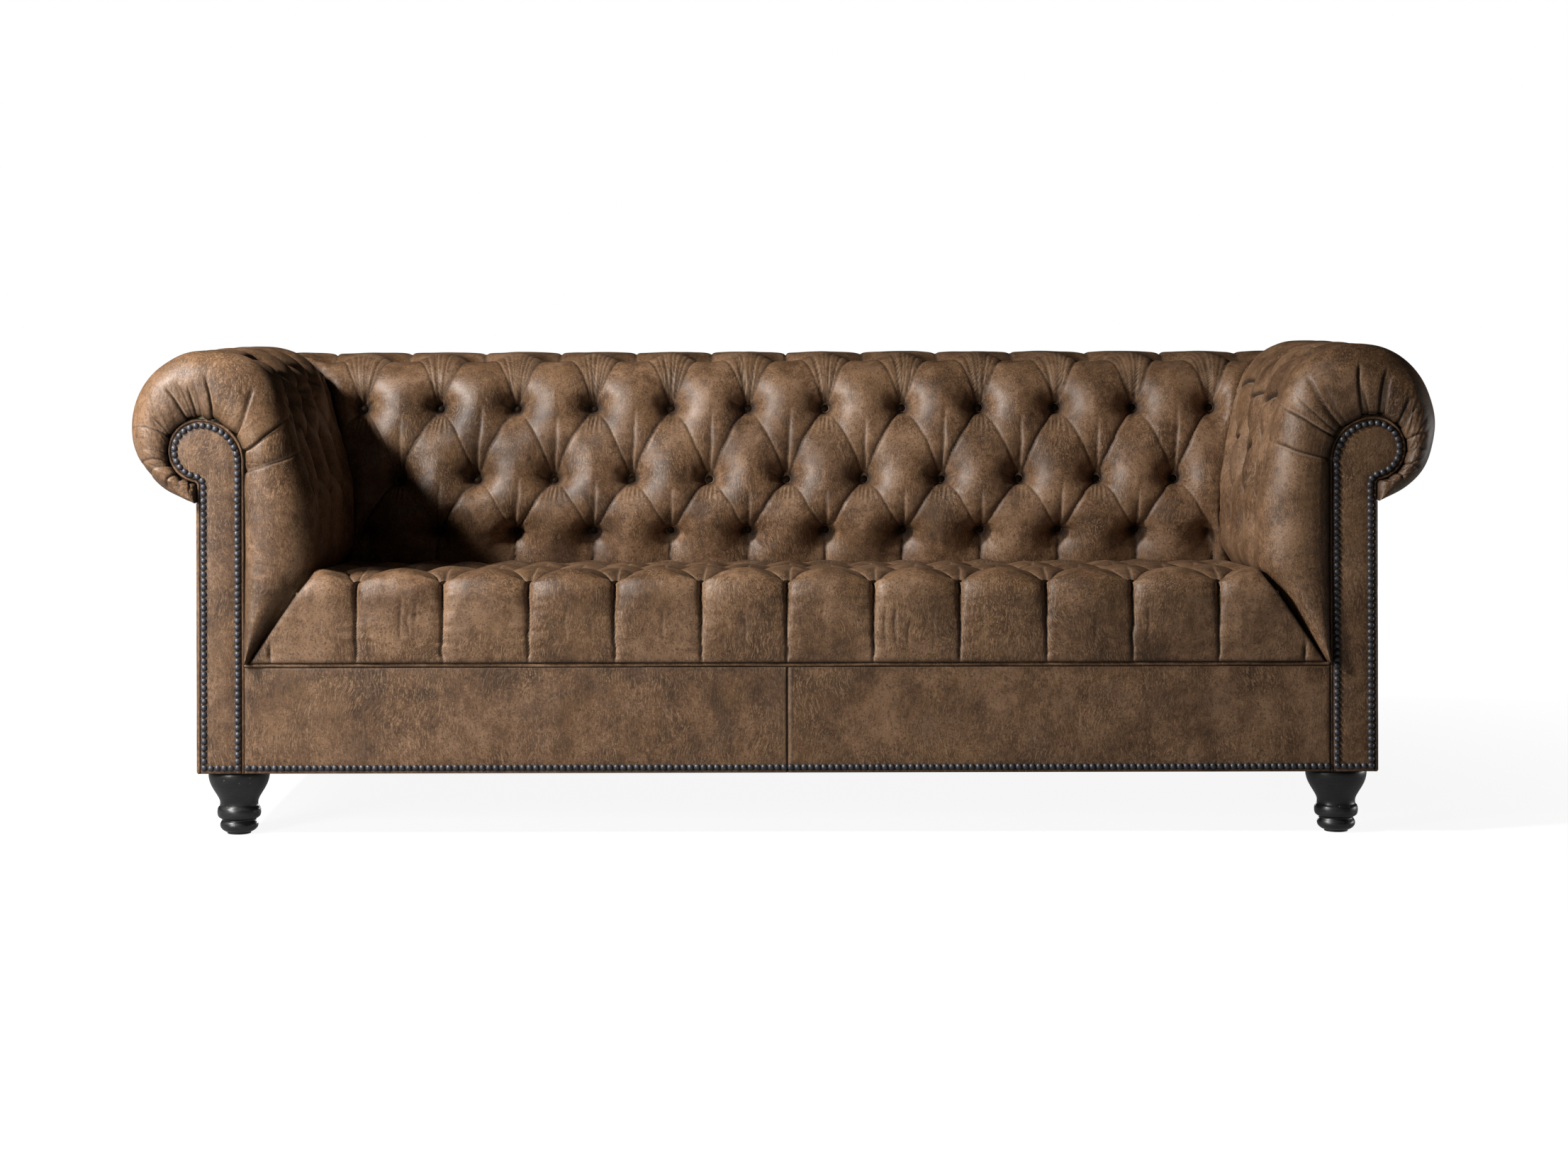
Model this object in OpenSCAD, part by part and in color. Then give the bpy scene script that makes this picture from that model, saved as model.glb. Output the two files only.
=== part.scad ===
/* [Overall] */
// Width across the two arm rolls
sofa_width = 2218; // [1900:1:2400]
// Depth from the arm fronts to the back roll
sofa_depth = 950; // [900:1:1040]
// Height of the back roll above the floor
sofa_height = 808; // [796:1:826]
// Height of the arm rolls
arm_height = 818; // [806:1:832]
// How far the rolls hang out over the outside panels
roll_overhang = 107; // [95:1:115]
// Radius of the arm and back rolls
roll_radius = 125; // [122:1:129]
// Running gap between a cover and the piece beside it
fit_gap = 0.4; // [0.2:0.1:0.8]

/* [Tufting] */
// Distance between two buttons of a row
tuft_spacing = 146; // [136:1:152]
// Depth of the button wells in the back and arms
tuft_depth = 34; // [24:1:38]
// Depth of the button wells in the seat
seat_tuft_depth = 24; // [14:1:30]
// Share of a diamond's height that swells between its folds
tuft_crown = 0.54; // [0.44:0.02:0.74]
// Depth of the seam where an arm roll meets the back roll
corner_seam_depth = 12; // [6:1:20]
// Thickness of the leather with its wadding at a diamond's crown
cover_thickness = 46; // [44:1:52]
// Diameter of a covered button
button_diameter = 18; // [14:1:20]
// Height of a button's dome
button_dome = 4; // [3:0.5:6]

/* [Seat] */
// Height of the seat's front crown above the floor
seat_height = 456; // [448:1:464]
// Height of the seat where it meets the back
seat_rear_height = 423; // [416:1:436]
// Radius of the seat's front edge
seat_front_radius = 45; // [38:1:55]
// How far the seat's front foot lies behind its fullest point
seat_foot_setback = 12; // [8:1:16]
// Distance between the seat's rows of buttons
seat_row_pitch = 130; // [120:1:131]
// Distance along the cover from its foot to the front buttons
seat_first_row = 172; // [164:1:176]
// Thickness of the seat's leather and wadding
seat_cover_thickness = 36; // [34:1:40]
// Gap between the seat and the arm pads
seat_side_gap = 3; // [2:0.5:5]

/* [Back] */
// Full thickness of the back from its outside panel
back_thickness = 273; // [260:1:285]
// Height of the fullest point of the back
back_belly_height = 516; // [502:1:530]
// Radius of the back's lumbar swell
back_belly_radius = 200; // [180:1:220]
// Thickness of the back at its foot
back_foot_thickness = 200; // [180:1:215]
// Thickness of the back at the centre line of its roll
back_top_thickness = 228; // [215:1:240]
// Distance along the back cover from its foot to the lowest buttons
back_first_row = 174; // [166:1:180]
// Distance between the back's rows of buttons
back_row_pitch = 136; // [128:0.2:139]

/* [Arms] */
// Full thickness of an arm from its outside panel
arm_thickness = 199; // [190:1:206]
// Height of the fullest point of an arm
arm_belly_height = 556; // [546:1:566]
// Radius of the arm's swell
arm_belly_radius = 110; // [100:1:120]
// Thickness of an arm at the centre line of its roll
arm_top_thickness = 160; // [154:1:168]
// Distance along the arm cover from its foot to the lowest buttons
arm_first_row = 254; // [246:1:262]
// Distance between the arm's rows of buttons
arm_row_pitch = 105; // [100:1:108]
// Width of the plain pleated border at the front of an arm
arm_border = 115; // [105:1:125]
// How far the border swells out in front of the facing panel
border_bulge = 17; // [12:1:24]

/* [Facing panels] */
// Width of the straight part of a facing panel
facing_width = 69; // [64:1:76]
// Distance of the facing's outer edge from the outside panel's face
facing_inset = 8.5; // [6:0.5:10]
// Height of the top of the facing's scroll head
head_top = 706; // [696:1:712]
// Radius of the scroll head on its outer side
head_radius = 49; // [46:1:52]
// Radius of the hollow under the scroll head
head_hollow_radius = 12; // [9:1:15]
// Thickness of the outside, facing and front panels with their leather
panel_thickness = 8; // [6:0.5:10]
// Diameter of the piping round the panels
piping_diameter = 5; // [4:0.2:5.4]

/* [Front panel] */
// Height of the front panel's top edge above the floor
apron_top = 289.5; // [284:0.5:295]
// Diameter of the piping between front panel and seat
seat_piping_diameter = 7; // [5:0.5:8]

/* [Nails] */
// Distance between two nails
nail_pitch = 11.3; // [11.2:0.1:13]
// Diameter of a nail's head
nail_diameter = 10.8; // [9:0.1:11]
// Height of a nail's head
nail_height = 3.6; // [2.4:0.1:4.4]
// Distance of the nails from the edge of a facing panel
nail_inset = 6; // [5.6:0.2:9]
// Height of the lowest nail row above the lower edge
nail_lift = 10; // [7:0.5:12]

/* [Legs] */
// Height of a leg with its glide
leg_height = 110; // [96:1:130]
// Largest diameter of a leg
leg_diameter = 104; // [92:1:110]
// Diameter of a leg at its upper neck
leg_neck_diameter = 65; // [55:1:70]
// Diameter of the turned ring below the neck
leg_ring_diameter = 74; // [68:1:80]
// Diameter of the foot below the ring
leg_foot_diameter = 65; // [60:1:67]
// Height of a leg's upper neck above the floor
leg_neck_z = 54; // [50:1:60]
// Height of the ring's upper edge above the floor
leg_ring_top = 47; // [42:1:47]
// Height of the ring's lower edge above the floor
leg_ring_low = 28; // [26:1:34]
// Height of the foot's fullest point above the floor
leg_foot_z = 14; // [12:1:16]
// Diameter of the glide under a leg
glide_diameter = 40; // [30:1:44]
// Thickness of the glide under a leg
glide_thickness = 3; // [2:0.5:4]
// Distance of a leg's axis from the outside panels' faces
leg_inset = 63; // [58:1:80]
// Thread diameter of the leg bolts
leg_bolt_diameter = 8; // [6:1:10]
// Length of the leg bolts above the leg
leg_bolt_reach = 38; // [36:1:45]
// Depth of the leg bolts in the leg
leg_bolt_depth = 32; // [25:1:45]

/* [Frame] */
// Thickness of the rails
rail_thickness = 30; // [25:1:35]
// Height of the base rails
rail_height = 168; // [155:1:172]
// Thickness of the scroll boards behind the facings
scroll_board_thickness = 20; // [16:1:24]
// Width of the arm posts along the arm
post_width = 45; // [38:1:52]
// Height of the top rails
top_rail_height = 60; // [50:1:64]
// Depth of the arm's top rails
arm_rail_depth = 52; // [44:1:58]
// Depth of the back's ribs and top rail
back_rib_depth = 90; // [80:1:95]
// Number of ribs in the back
back_rib_count = 3; // [2:1:4]
// Width of a back rib
back_rib_width = 30; // [25:1:40]
// Length of the corner blocks along the rails
corner_block_size = 110; // [96:1:130]
// Height of the corner blocks
corner_block_height = 32; // [28:1:34]
// Number of stretchers under the seat
stretcher_count = 2; // [1:1:3]
// Height of the stretchers under the seat
stretcher_height = 60; // [45:1:80]

/* [Springs and webbing] */
// Number of zigzag springs under the seat
spring_count = 11; // [8:1:12]
// Number of bends in a spring
spring_bends = 20; // [18:1:24]
// Width of a spring
spring_width = 60; // [54:1:66]
// Wire diameter of a spring
spring_wire = 4; // [3.5:0.1:4.5]
// Sheet thickness of the spring clips
clip_sheet = 1.5; // [1.2:0.1:2]
// Width of a webbing strap
webbing_width = 50; // [40:1:56]
// Thickness of a webbing strap
webbing_thickness = 2; // [1.5:0.1:2.5]
// Thickness of the cloth over the springs and under the base
cloth_thickness = 1; // [0.8:0.1:1.5]

/* [Hidden] */
$fn = 48;

LEATHER = [0.34, 0.25, 0.18];
LEATHER_DARK = [0.27, 0.19, 0.13];
BUTTON_BROWN = [0.24, 0.17, 0.12];
NAIL_GREY = [0.33, 0.34, 0.36];
BLACK_WOOD = [0.07, 0.07, 0.08];
BEECH = [0.78, 0.62, 0.42];
PLYWOOD = [0.82, 0.70, 0.52];
FOAM = [0.93, 0.88, 0.70];
JUTE = [0.66, 0.55, 0.38];
STEEL = [0.62, 0.64, 0.66];
BLACK_CLOTH = [0.12, 0.12, 0.12];

// The sofa faces -y, and left and right are as seen from the front
half_width = sofa_width / 2;
front_y = -sofa_depth / 2;
side_x = half_width - roll_overhang;
rear_y = sofa_depth / 2 - roll_overhang;
face_y = front_y + border_bulge;
base_z = leg_height;

frame_x = side_x - panel_thickness;
frame_front = face_y + panel_thickness;
frame_rear = rear_y - panel_thickness;
rail_top = base_z + rail_height;
foot_z = apron_top + seat_piping_diameter;
seat_rail_y = rear_y - back_rib_depth - panel_thickness - rail_thickness - 2 * webbing_thickness;

// Outline of a pad as circles that its surface wraps, given as [inward distance, height]
foot_clearance = 6.5;
arm_circles = pad_circles(facing_width + facing_inset + piping_diameter + foot_clearance, arm_thickness,
    arm_belly_height, arm_belly_radius, arm_top_thickness, arm_height);
back_circles = pad_circles(back_foot_thickness, back_thickness,
    back_belly_height, back_belly_radius, back_top_thickness, sofa_height);

function pad_circles(foot, belly, belly_z, belly_r, top, height) = [
    [[foot, foot_z], 0],
    [[belly - belly_r, belly_z], belly_r],
    [[top - roll_radius, height - roll_radius], roll_radius],
    [[roll_radius - roll_overhang, height - roll_radius], roll_radius]
];

function unit(angle) = [cos(angle), sin(angle)];
function mix(a, b, t) = a + (b - a) * t;
function ramp(t) = max(0, min(1, t));
function smooth(t) = let (r = ramp(t)) r * r * (3 - 2 * r);
function flat(lists) = [for (part = lists) each part];

// A path is a list of straight pieces [0, from, to] and arcs [1, centre, radius, from angle, to angle]
function piece_length(p) = p[0] == 0 ? norm(p[2] - p[1]) : abs(p[4] - p[3]) * PI / 180 * p[2];
function piece_angle(p, d) = p[3] + sign(p[4] - p[3]) * d / p[2] * 180 / PI;
function piece_point(p, d) = p[0] == 0
    ? p[1] + (p[2] - p[1]) * d / norm(p[2] - p[1])
    : p[1] + p[2] * unit(piece_angle(p, d));
function piece_normal(p, d) = p[0] == 0
    ? [p[2][1] - p[1][1], p[1][0] - p[2][0]] / norm(p[2] - p[1])
    : sign(p[4] - p[3]) * unit(piece_angle(p, d));
function path_length(path, i = 0) =
    i == len(path) ? 0 : piece_length(path[i]) + path_length(path, i + 1);
function path_find(path, s, i = 0) = let (l = piece_length(path[i]))
    s <= l || i == len(path) - 1 ? [i, s] : path_find(path, s - l, i + 1);
function path_point(path, s) = let (f = path_find(path, s)) piece_point(path[f[0]], f[1]);
function path_normal(path, s) = let (f = path_find(path, s)) piece_normal(path[f[0]], f[1]);

// A taut line round circles, with the free side to its right
function tangent_angle(a, b) = let (d = b[0] - a[0], way = atan2(d[1], d[0]))
    (way < 0 ? way + 360 : way) - acos((a[1] - b[1]) / norm(d));
function wrap_path(circles, end_angle) = flat([
    for (i = [0:len(circles) - 2])
        let (a = circles[i], b = circles[i + 1], turn = tangent_angle(a, b))
        let (next = i + 2 < len(circles) ? tangent_angle(b, circles[i + 2]) : end_angle)
        concat([[0, a[0] + a[1] * unit(turn), b[0] + b[1] * unit(turn)]],
            b[1] > 0 ? [[1, b[0], b[1], turn, next]] : [])
]);

// The pad's surface, or the same surface sunk by skin
function pad_path(circles, skin = 0) =
    let (roll = circles[3], r = roll[1] - skin)
    wrap_path([for (i = [0:3]) i == 0
        ? [circles[i][0] - [skin, 0], 0]
        : [circles[i][0], circles[i][1] - skin]],
        360 - acos(-roll[0][0] / r));

// Distance of a pad's inner surface from the outside panel at a height below its belly
function pad_reach(circles, z) =
    let (line = wrap_path(circles, 90)[0], b = circles[1])
    z < line[2][1]
        ? mix(line[1][0], line[2][0], (z - line[1][1]) / (line[2][1] - line[1][1]))
        : b[0][0] + sqrt(pow(b[1], 2) - pow(z - b[0][1], 2));

// Edge of a facing panel, moved inward by inset, from height z0 over the scroll and down to z1
head_offset = 10;
head_x = roll_radius - roll_overhang - head_offset;
head_inner_radius = facing_width + facing_inset - head_x;
head_z = head_top - head_radius;
big_head_z = head_top - head_inner_radius;
hollow_x = facing_inset - head_hollow_radius;
hollow_z = head_z - sqrt(pow(head_radius + head_hollow_radius, 2) - pow(hollow_x - head_x, 2));
hollow_turn = 360 + atan2(hollow_z - head_z, hollow_x - head_x);
function facing_path(inset, z0, z1) = let (edge = facing_inset + facing_width - inset) [
    [0, [edge, z0], [edge, big_head_z]],
    [1, [head_x, big_head_z], head_inner_radius - inset, 0, 90],
    [1, [head_x, head_z], head_radius - inset, 90, hollow_turn],
    [1, [hollow_x, hollow_z], head_hollow_radius + inset, hollow_turn - 180, 0],
    [0, [facing_inset + inset, hollow_z], [facing_inset + inset, z1]]
];
// Points that draw a path: both ends of straight pieces and steps of about ten degrees on arcs
function path_outline(path) = flat([for (p = path) p[0] == 0
    ? [p[1], p[2]]
    : let (n = max(2, ceil(abs(p[4] - p[3]) / 10))) [for (i = [1:n - 1])
        piece_point(p, piece_length(p) * i / n)]]);

// Height of the tufted surface, from 0 in a button well to 1 on a crown, at lattice place a, b
function tuft(a, b) = let (swell = sqrt(abs(sin(180 * a) * sin(180 * b))))
    let (well = pow(cos(180 * a) * cos(180 * b), 2))
    tuft_crown * swell + (1 - tuft_crown) * (1 - well);

// Triangles between two chains of point numbers; the tie keeps equal shares on one side
tie = 0.001;
function strip(a, b) = let (m = len(a) - 1, n = len(b) - 1) concat(
    [for (j = [0:1:m - 1]) [a[j], a[j + 1], b[ceil((j + 0.5) / m * n - 0.5 - tie)]]],
    [for (i = [0:1:n - 1]) [b[i + 1], b[i], a[floor((i + 0.5) / n * m - 0.5 + tie) + 1]]]
);
function slice(list, first, last) = [for (i = [first:last]) list[i]];
// Between rows of unequal length, the cells at both ends still match one to one
function joined(a, b, ends) = let (m = len(a) - 1, n = len(b) - 1)
    min(m, n) <= 2 * ends ? strip(a, b) : concat(
        strip(slice(a, 0, ends), slice(b, 0, ends)),
        strip(slice(a, ends, m - ends), slice(b, ends, n - ends)),
        strip(slice(a, m - ends, m), slice(b, n - ends, n)));
// The same between rows of equal length, with each cell split along the nearer fold
function fold_strip(a, b, row_a, row_b) = flat([for (j = [0:len(a) - 2])
    let (la = row_a[j][3] + row_b[j + 1][3], lb = row_a[j][4] + row_b[j + 1][4])
    abs(sin(90 * lb)) < abs(sin(90 * la))
        ? [[a[j], a[j + 1], b[j + 1]], [b[j + 1], b[j], a[j]]]
        : [[a[j], a[j + 1], b[j]], [b[j + 1], b[j], a[j + 1]]]]);
function turned(faces) = [for (f = faces) [f[2], f[1], f[0]]];

// A closed skin of outer rows over inner rows; a point is [x, y, z, lattice a, lattice b]
module skin_solid(outer, inner, turn_faces = false) {
    rows = concat(outer, [for (i = [len(inner) - 1:-1:0]) inner[i]]);
    starts = [for (i = 0, n = 0; i < len(rows); n = n + len(rows[i]), i = i + 1) n];
    chain = [for (i = [0:len(rows) - 1]) [for (j = [0:len(rows[i]) - 1]) starts[i] + j]];
    last = len(rows) - 1;
    skins = flat([for (i = [0:last]) let (k = (i + 1) % len(rows))
        len(rows[i]) == len(rows[k])
            ? fold_strip(chain[i], chain[k], rows[i], rows[k])
            : joined(chain[i], chain[k], corner_columns)]);
    near_out = [for (i = [0:len(outer) - 1]) chain[i][0]];
    near_in = [for (i = [last:-1:len(outer)]) chain[i][0]];
    far_out = [for (i = [0:len(outer) - 1]) chain[i][len(rows[i]) - 1]];
    far_in = [for (i = [last:-1:len(outer)]) chain[i][len(rows[i]) - 1]];
    faces = concat(skins, strip(near_out, near_in), turned(strip(far_out, far_in)));
    polyhedron([for (r = rows) for (p = r) [p[0], p[1], p[2]]], turn_faces ? turned(faces) : faces);
}

// The vertical plane where an arm pad meets the back pad, in inward distances of each
corner_ratio = (back_top_thickness + roll_overhang) / (arm_top_thickness + roll_overhang);
function corner_x(back_u) = side_x + roll_overhang - (back_u + roll_overhang) / corner_ratio - fit_gap;
function corner_y(arm_u) = rear_y + roll_overhang - (arm_u + roll_overhang) * corner_ratio - fit_gap;

// Rows of a pad's surface run along the sofa, three steps to a row of buttons
lattice_steps = 3;
roll_steps = 8;
function row_places(path, first, pitch, foot_steps, rows) = let (total = path_length(path))
    let (top = first + rows * pitch) concat(
    [for (i = [0:foot_steps - 1]) first * i / foot_steps],
    [for (i = [0:rows * lattice_steps]) first + i * pitch / lattice_steps],
    [for (i = [1:roll_steps]) mix(top, total, i / roll_steps)]);

// Puts an arm piece drawn for the left onto the left (-1) or the right (1)
module in_place_x(side) mirror([side > 0 ? 1 : 0, 0, 0]) children();

// Columns run across the rows, and the last few close up to the seams at the pad's ends
column_step = tuft_spacing / (2 * lattice_steps);
column_room = 0.8 * column_step;
corner_columns = 3;
// Folds fade out over this distance from the edge where a cover is tucked in
fold_fade = 60;

// Back cover
back_rows = 3;
back_foot_steps = 3;
back_shift_share = 0.5;
back_tuck = 20;
back_path = pad_path(back_circles);
back_places = row_places(back_path, back_first_row, back_row_pitch, back_foot_steps, back_rows);
back_top_place = back_first_row + back_rows * back_row_pitch;
back_columns = floor((corner_x(back_thickness) - column_room) / column_step);

function back_row_number(s) = min(back_rows, (s - back_first_row) / back_row_pitch);
function back_fade(s) = smooth((s - back_tuck) / fold_fade)
    * (1 - smooth((s - back_top_place) / (path_length(back_path) - back_top_place)));
function back_depth(s, x) = let (m = back_row_number(s), t = x / tuft_spacing + back_shift_share)
    tuft_depth * (1 - tuft(t + m / 2, t - m / 2)) * back_fade(s);
function back_sunk(s, depth) = path_point(back_path, s) - depth * path_normal(back_path, s);
function back_point(s, x, depth) = let (p = back_sunk(s, depth))
    let (m = back_row_number(s), t = x / tuft_spacing + back_shift_share)
    [x, rear_y - p[0], p[1], t + m / 2, t - m / 2];
function back_edge(s, side, k) = let (seam = back_sunk(s, corner_seam_depth), share = k / corner_columns)
    let (x = mix(back_columns * column_step, corner_x(seam[0]), share))
    back_point(s, side * x, mix(back_depth(s, x), corner_seam_depth, smooth(share)));
function back_row(s, stride) = concat(
    [for (k = [corner_columns:-1:1]) back_edge(s, -1, k)],
    [for (i = [-back_columns:stride:back_columns]) let (x = i * column_step)
        back_point(s, x, back_depth(s, x))],
    [for (k = [1:corner_columns]) back_edge(s, 1, k)]);
function back_core_row(s, skin) = let (path = pad_path(back_circles, skin))
    let (p = path_point(path, s * path_length(path) / path_length(back_path)))
    [for (side = [-1, 1]) [side * (corner_x(p[0]) - fit_gap), rear_y - p[0], p[1], 0, 0]];

module back_cover() color(LEATHER)
    skin_solid(
        [for (s = back_places) back_row(s, s > back_top_place + 1 ? 2 : 1)],
        [for (s = back_places) back_core_row(s, cover_thickness)], turn_faces = true);

// Arm covers, drawn for the left arm
arm_rows = 3;
arm_foot_steps = 5;
arm_path = pad_path(arm_circles);
arm_places = row_places(arm_path, arm_first_row, arm_row_pitch, arm_foot_steps, arm_rows);
arm_top_place = arm_first_row + arm_rows * arm_row_pitch;
arm_corner_y = corner_y(arm_thickness);
corner_well = 29;
border_y = front_y + arm_border;
board_rear = frame_front + scroll_board_thickness;

// The ring where the cover comes out from behind the facing's piping
lip_share = 0.65;
lip_room = 2;
lip_path = facing_path(-piping_diameter - lip_room, foot_z, path_point(arm_path, path_length(arm_path))[1]);
function lip_place(s) = let (total = path_length(arm_path), roll = PI * roll_radius / 2)
    let (q = [for (i = 0, d = 0; i < 5; d = d + piece_length(lip_path[i]), i = i + 1) d])
    let (top = path_length([for (i = [0:3]) arm_path[i]]))
    lookup(s, [[0, 0], [arm_first_row + arm_row_pitch, q[1]], [top, q[2]],
        [top + roll, mix(q[2], q[3], lip_share)], [total, path_length(lip_path)]]);
// Steps of the border from the lip to the full roll: [share of the way out, distance behind the front]
border_steps = [
    [0, border_bulge + panel_thickness], [0.1, 8], [0.3, 1], [0.55, 0], [0.8, 6], [0.94, 20], [1, 42]
];

// The arm's lattice starts at the corner button, which lies in the well where arm and back meet
arm_lattice_y = arm_corner_y + corner_well;

// Near the corner the arm's roll passes to the height of the back's roll
corner_run = 240;
corner_top_y = corner_y(roll_radius - roll_overhang);
arm_rise_low = head_top - 2 * head_radius;
function arm_rise(y, z) = (sofa_height - arm_height) * smooth(1 + (y - corner_top_y) / corner_run)
    * smooth((z - arm_rise_low) / (arm_height - arm_rise_low));
function arm_row_number(s) = min(arm_rows, (s - arm_first_row) / arm_row_pitch);
function arm_sunk(s, depth) = path_point(arm_path, s) - depth * path_normal(arm_path, s);
function arm_point(s, y, depth) = let (p = arm_sunk(s, depth))
    let (m = arm_row_number(s), t = (y - arm_lattice_y) / tuft_spacing)
    [p[0] - side_x, y, p[1] + arm_rise(y, p[1]), t + m / 2, t - m / 2];
function arm_fade(s, y) = smooth((s - arm_first_row + arm_row_pitch) / arm_row_pitch)
    * (1 - smooth((s - arm_top_place) / (path_length(arm_path) - arm_top_place)))
    * smooth((y - front_y - fold_fade) / (arm_border - fold_fade));
function arm_depth(s, y) = let (m = arm_row_number(s), t = (y - arm_lattice_y) / tuft_spacing)
    tuft_depth * (1 - tuft(t + m / 2, t - m / 2)) * arm_fade(s, y);
function lip_point(s) = path_point(lip_path, lip_place(s));
function border_row(step) = [for (s = arm_places)
    let (p = mix(lip_point(s), path_point(arm_path, s), step[0]))
    [p[0] - side_x, front_y + step[1], p[1], 0, 0]];
function arm_row(y) = [for (s = arm_places) arm_point(s, y, arm_depth(s, y))];
// Beyond the last even row the cover runs out to the seam with the back
arm_last_y = arm_lattice_y - 2 * column_step;
function arm_end_row(k) = [for (s = arm_places)
    let (share = k / corner_columns, seam_depth = corner_seam_depth * smooth(s / arm_first_row))
    let (y = mix(arm_last_y, corner_y(arm_sunk(s, seam_depth)[0]), share))
    arm_point(s, y, mix(arm_depth(s, y), seam_depth, smooth(share)))];
// Inner side of the cover, which ends at the corner plane where no y is given
function arm_core_row(share, y) = let (path = pad_path(arm_circles, cover_thickness))
    [for (s = arm_places) let (core = path_point(path, s * path_length(path) / path_length(arm_path)))
        let (p = mix(lip_point(s), core, share))
        [p[0] - side_x, is_undef(y) ? corner_y(p[0]) - fit_gap : y, p[1], 0, 0]];
arm_columns = floor((arm_last_y - border_y) / column_step);

module arm_cover(side) color(LEATHER) in_place_x(side)
    skin_solid(
        concat([for (step = border_steps) border_row(step)],
            [for (i = [arm_columns:-1:0]) arm_row(arm_last_y - i * column_step)],
            [for (k = [1:corner_columns]) arm_end_row(k)]),
        [arm_core_row(0, board_rear + fit_gap), arm_core_row(1, board_rear + fit_gap), arm_core_row(1)]);

// Seat cover, drawn with distances forward and up
seat_foot_steps = 4;
seat_channel_start = 12;
seat_side_depth = 8.4;
seat_reach = -(rear_y - back_belly_reach(seat_rear_height) - fit_gap);
function back_belly_reach(z) = pad_reach(back_circles, z);
function seat_circles(skin) = [
    [[-front_y - seat_foot_setback - skin, foot_z], 0],
    [[-front_y - seat_front_radius, seat_height - seat_front_radius], seat_front_radius - skin],
    [[seat_reach, seat_rear_height - skin], 0]
];
function seat_path(skin) = wrap_path(seat_circles(skin), 90);
seat_outline = seat_path(0);
seat_length = path_length(seat_outline);
seat_rows = floor((seat_length - seat_first_row) / seat_row_pitch);
seat_places = concat(
    [for (i = [0:seat_foot_steps - 1]) seat_first_row * i / seat_foot_steps],
    [for (i = [0:seat_rows * lattice_steps]) seat_first_row + i * seat_row_pitch / lattice_steps],
    [seat_length]);
seat_columns = 2 * floor((pad_side_x(seat_height) - column_room) / column_step / 2);
function pad_side_x(z) = side_x - pad_reach(arm_circles, z) - seat_side_gap;
function seat_row_number(s) = max(0, (s - seat_first_row) / seat_row_pitch);
function seat_depth(s, x) = let (m = seat_row_number(s), t = x / tuft_spacing)
    seat_tuft_depth * (1 - tuft(t + m / 2, t - m / 2)) * smooth((s + seat_channel_start) / fold_fade);
function seat_point(s, x, depth) =
    let (p = path_point(seat_outline, s) - depth * path_normal(seat_outline, s))
    let (m = seat_row_number(s), t = x / tuft_spacing)
    [x, -p[0], p[1], t + m / 2, t - m / 2];
function seat_edge(s, side) =
    seat_point(s, side * pad_side_x(path_point(seat_outline, s)[1]), seat_side_depth);
function seat_row(s) = concat([seat_edge(s, -1)],
    [for (i = [-seat_columns:seat_columns]) let (x = i * column_step)
        seat_point(s, x, seat_depth(s, x))],
    [seat_edge(s, 1)]);
function seat_core_half(skin) = pad_side_x(seat_height) - skin;
function seat_core_row(s, skin) = let (path = seat_path(skin))
    let (p = path_point(path, s * path_length(path) / seat_length))
    [for (side = [-1, 1]) [side * seat_core_half(skin), -p[0], p[1], 0, 0]];
module seat_cover() color(LEATHER)
    skin_solid([for (s = seat_places) seat_row(s)],
        [for (s = seat_places) seat_core_row(s, seat_cover_thickness)], turn_faces = true);

// A block between two corners
module block(low, high) translate(low) cube(high - low);
// A shape drawn as [x, height] on a plane that faces the front, from y0 back to y1
module upright(y0, y1) translate([0, y1, 0]) rotate([90, 0, 0]) linear_extrude(y1 - y0) children();
// A shape drawn as [distance behind the front, height], from x0 to x1
module sideways(x0, x1) translate([x0, 0, 0]) rotate([90, 0, 90]) linear_extrude(x1 - x0) children();

// Base frame
module front_rail() color(BEECH)
    block([-frame_x, frame_front, base_z], [frame_x, frame_front + rail_thickness, rail_top]);
module rear_rail() color(BEECH)
    block([-frame_x, frame_rear - rail_thickness, base_z], [frame_x, frame_rear, rail_top]);
module side_rail(side) color(BEECH) in_place_x(side)
    block([-frame_x, frame_front + rail_thickness, base_z],
        [-frame_x + rail_thickness, frame_rear - rail_thickness, rail_top]);
inner_x = frame_x - rail_thickness;
inner_front = frame_front + rail_thickness;
inner_rear = frame_rear - rail_thickness;
module seat_rear_rail() color(BEECH)
    block([-inner_x, seat_rail_y, rail_top - stretcher_height],
        [inner_x, seat_rail_y + rail_thickness, rail_top]);
module seat_stretchers() color(BEECH) for (i = [1:stretcher_count]) {
    x = mix(-inner_x, inner_x, i / (stretcher_count + 1));
    block([x - rail_thickness / 2, inner_front, base_z],
        [x + rail_thickness / 2, inner_rear, base_z + stretcher_height]);
}

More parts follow.
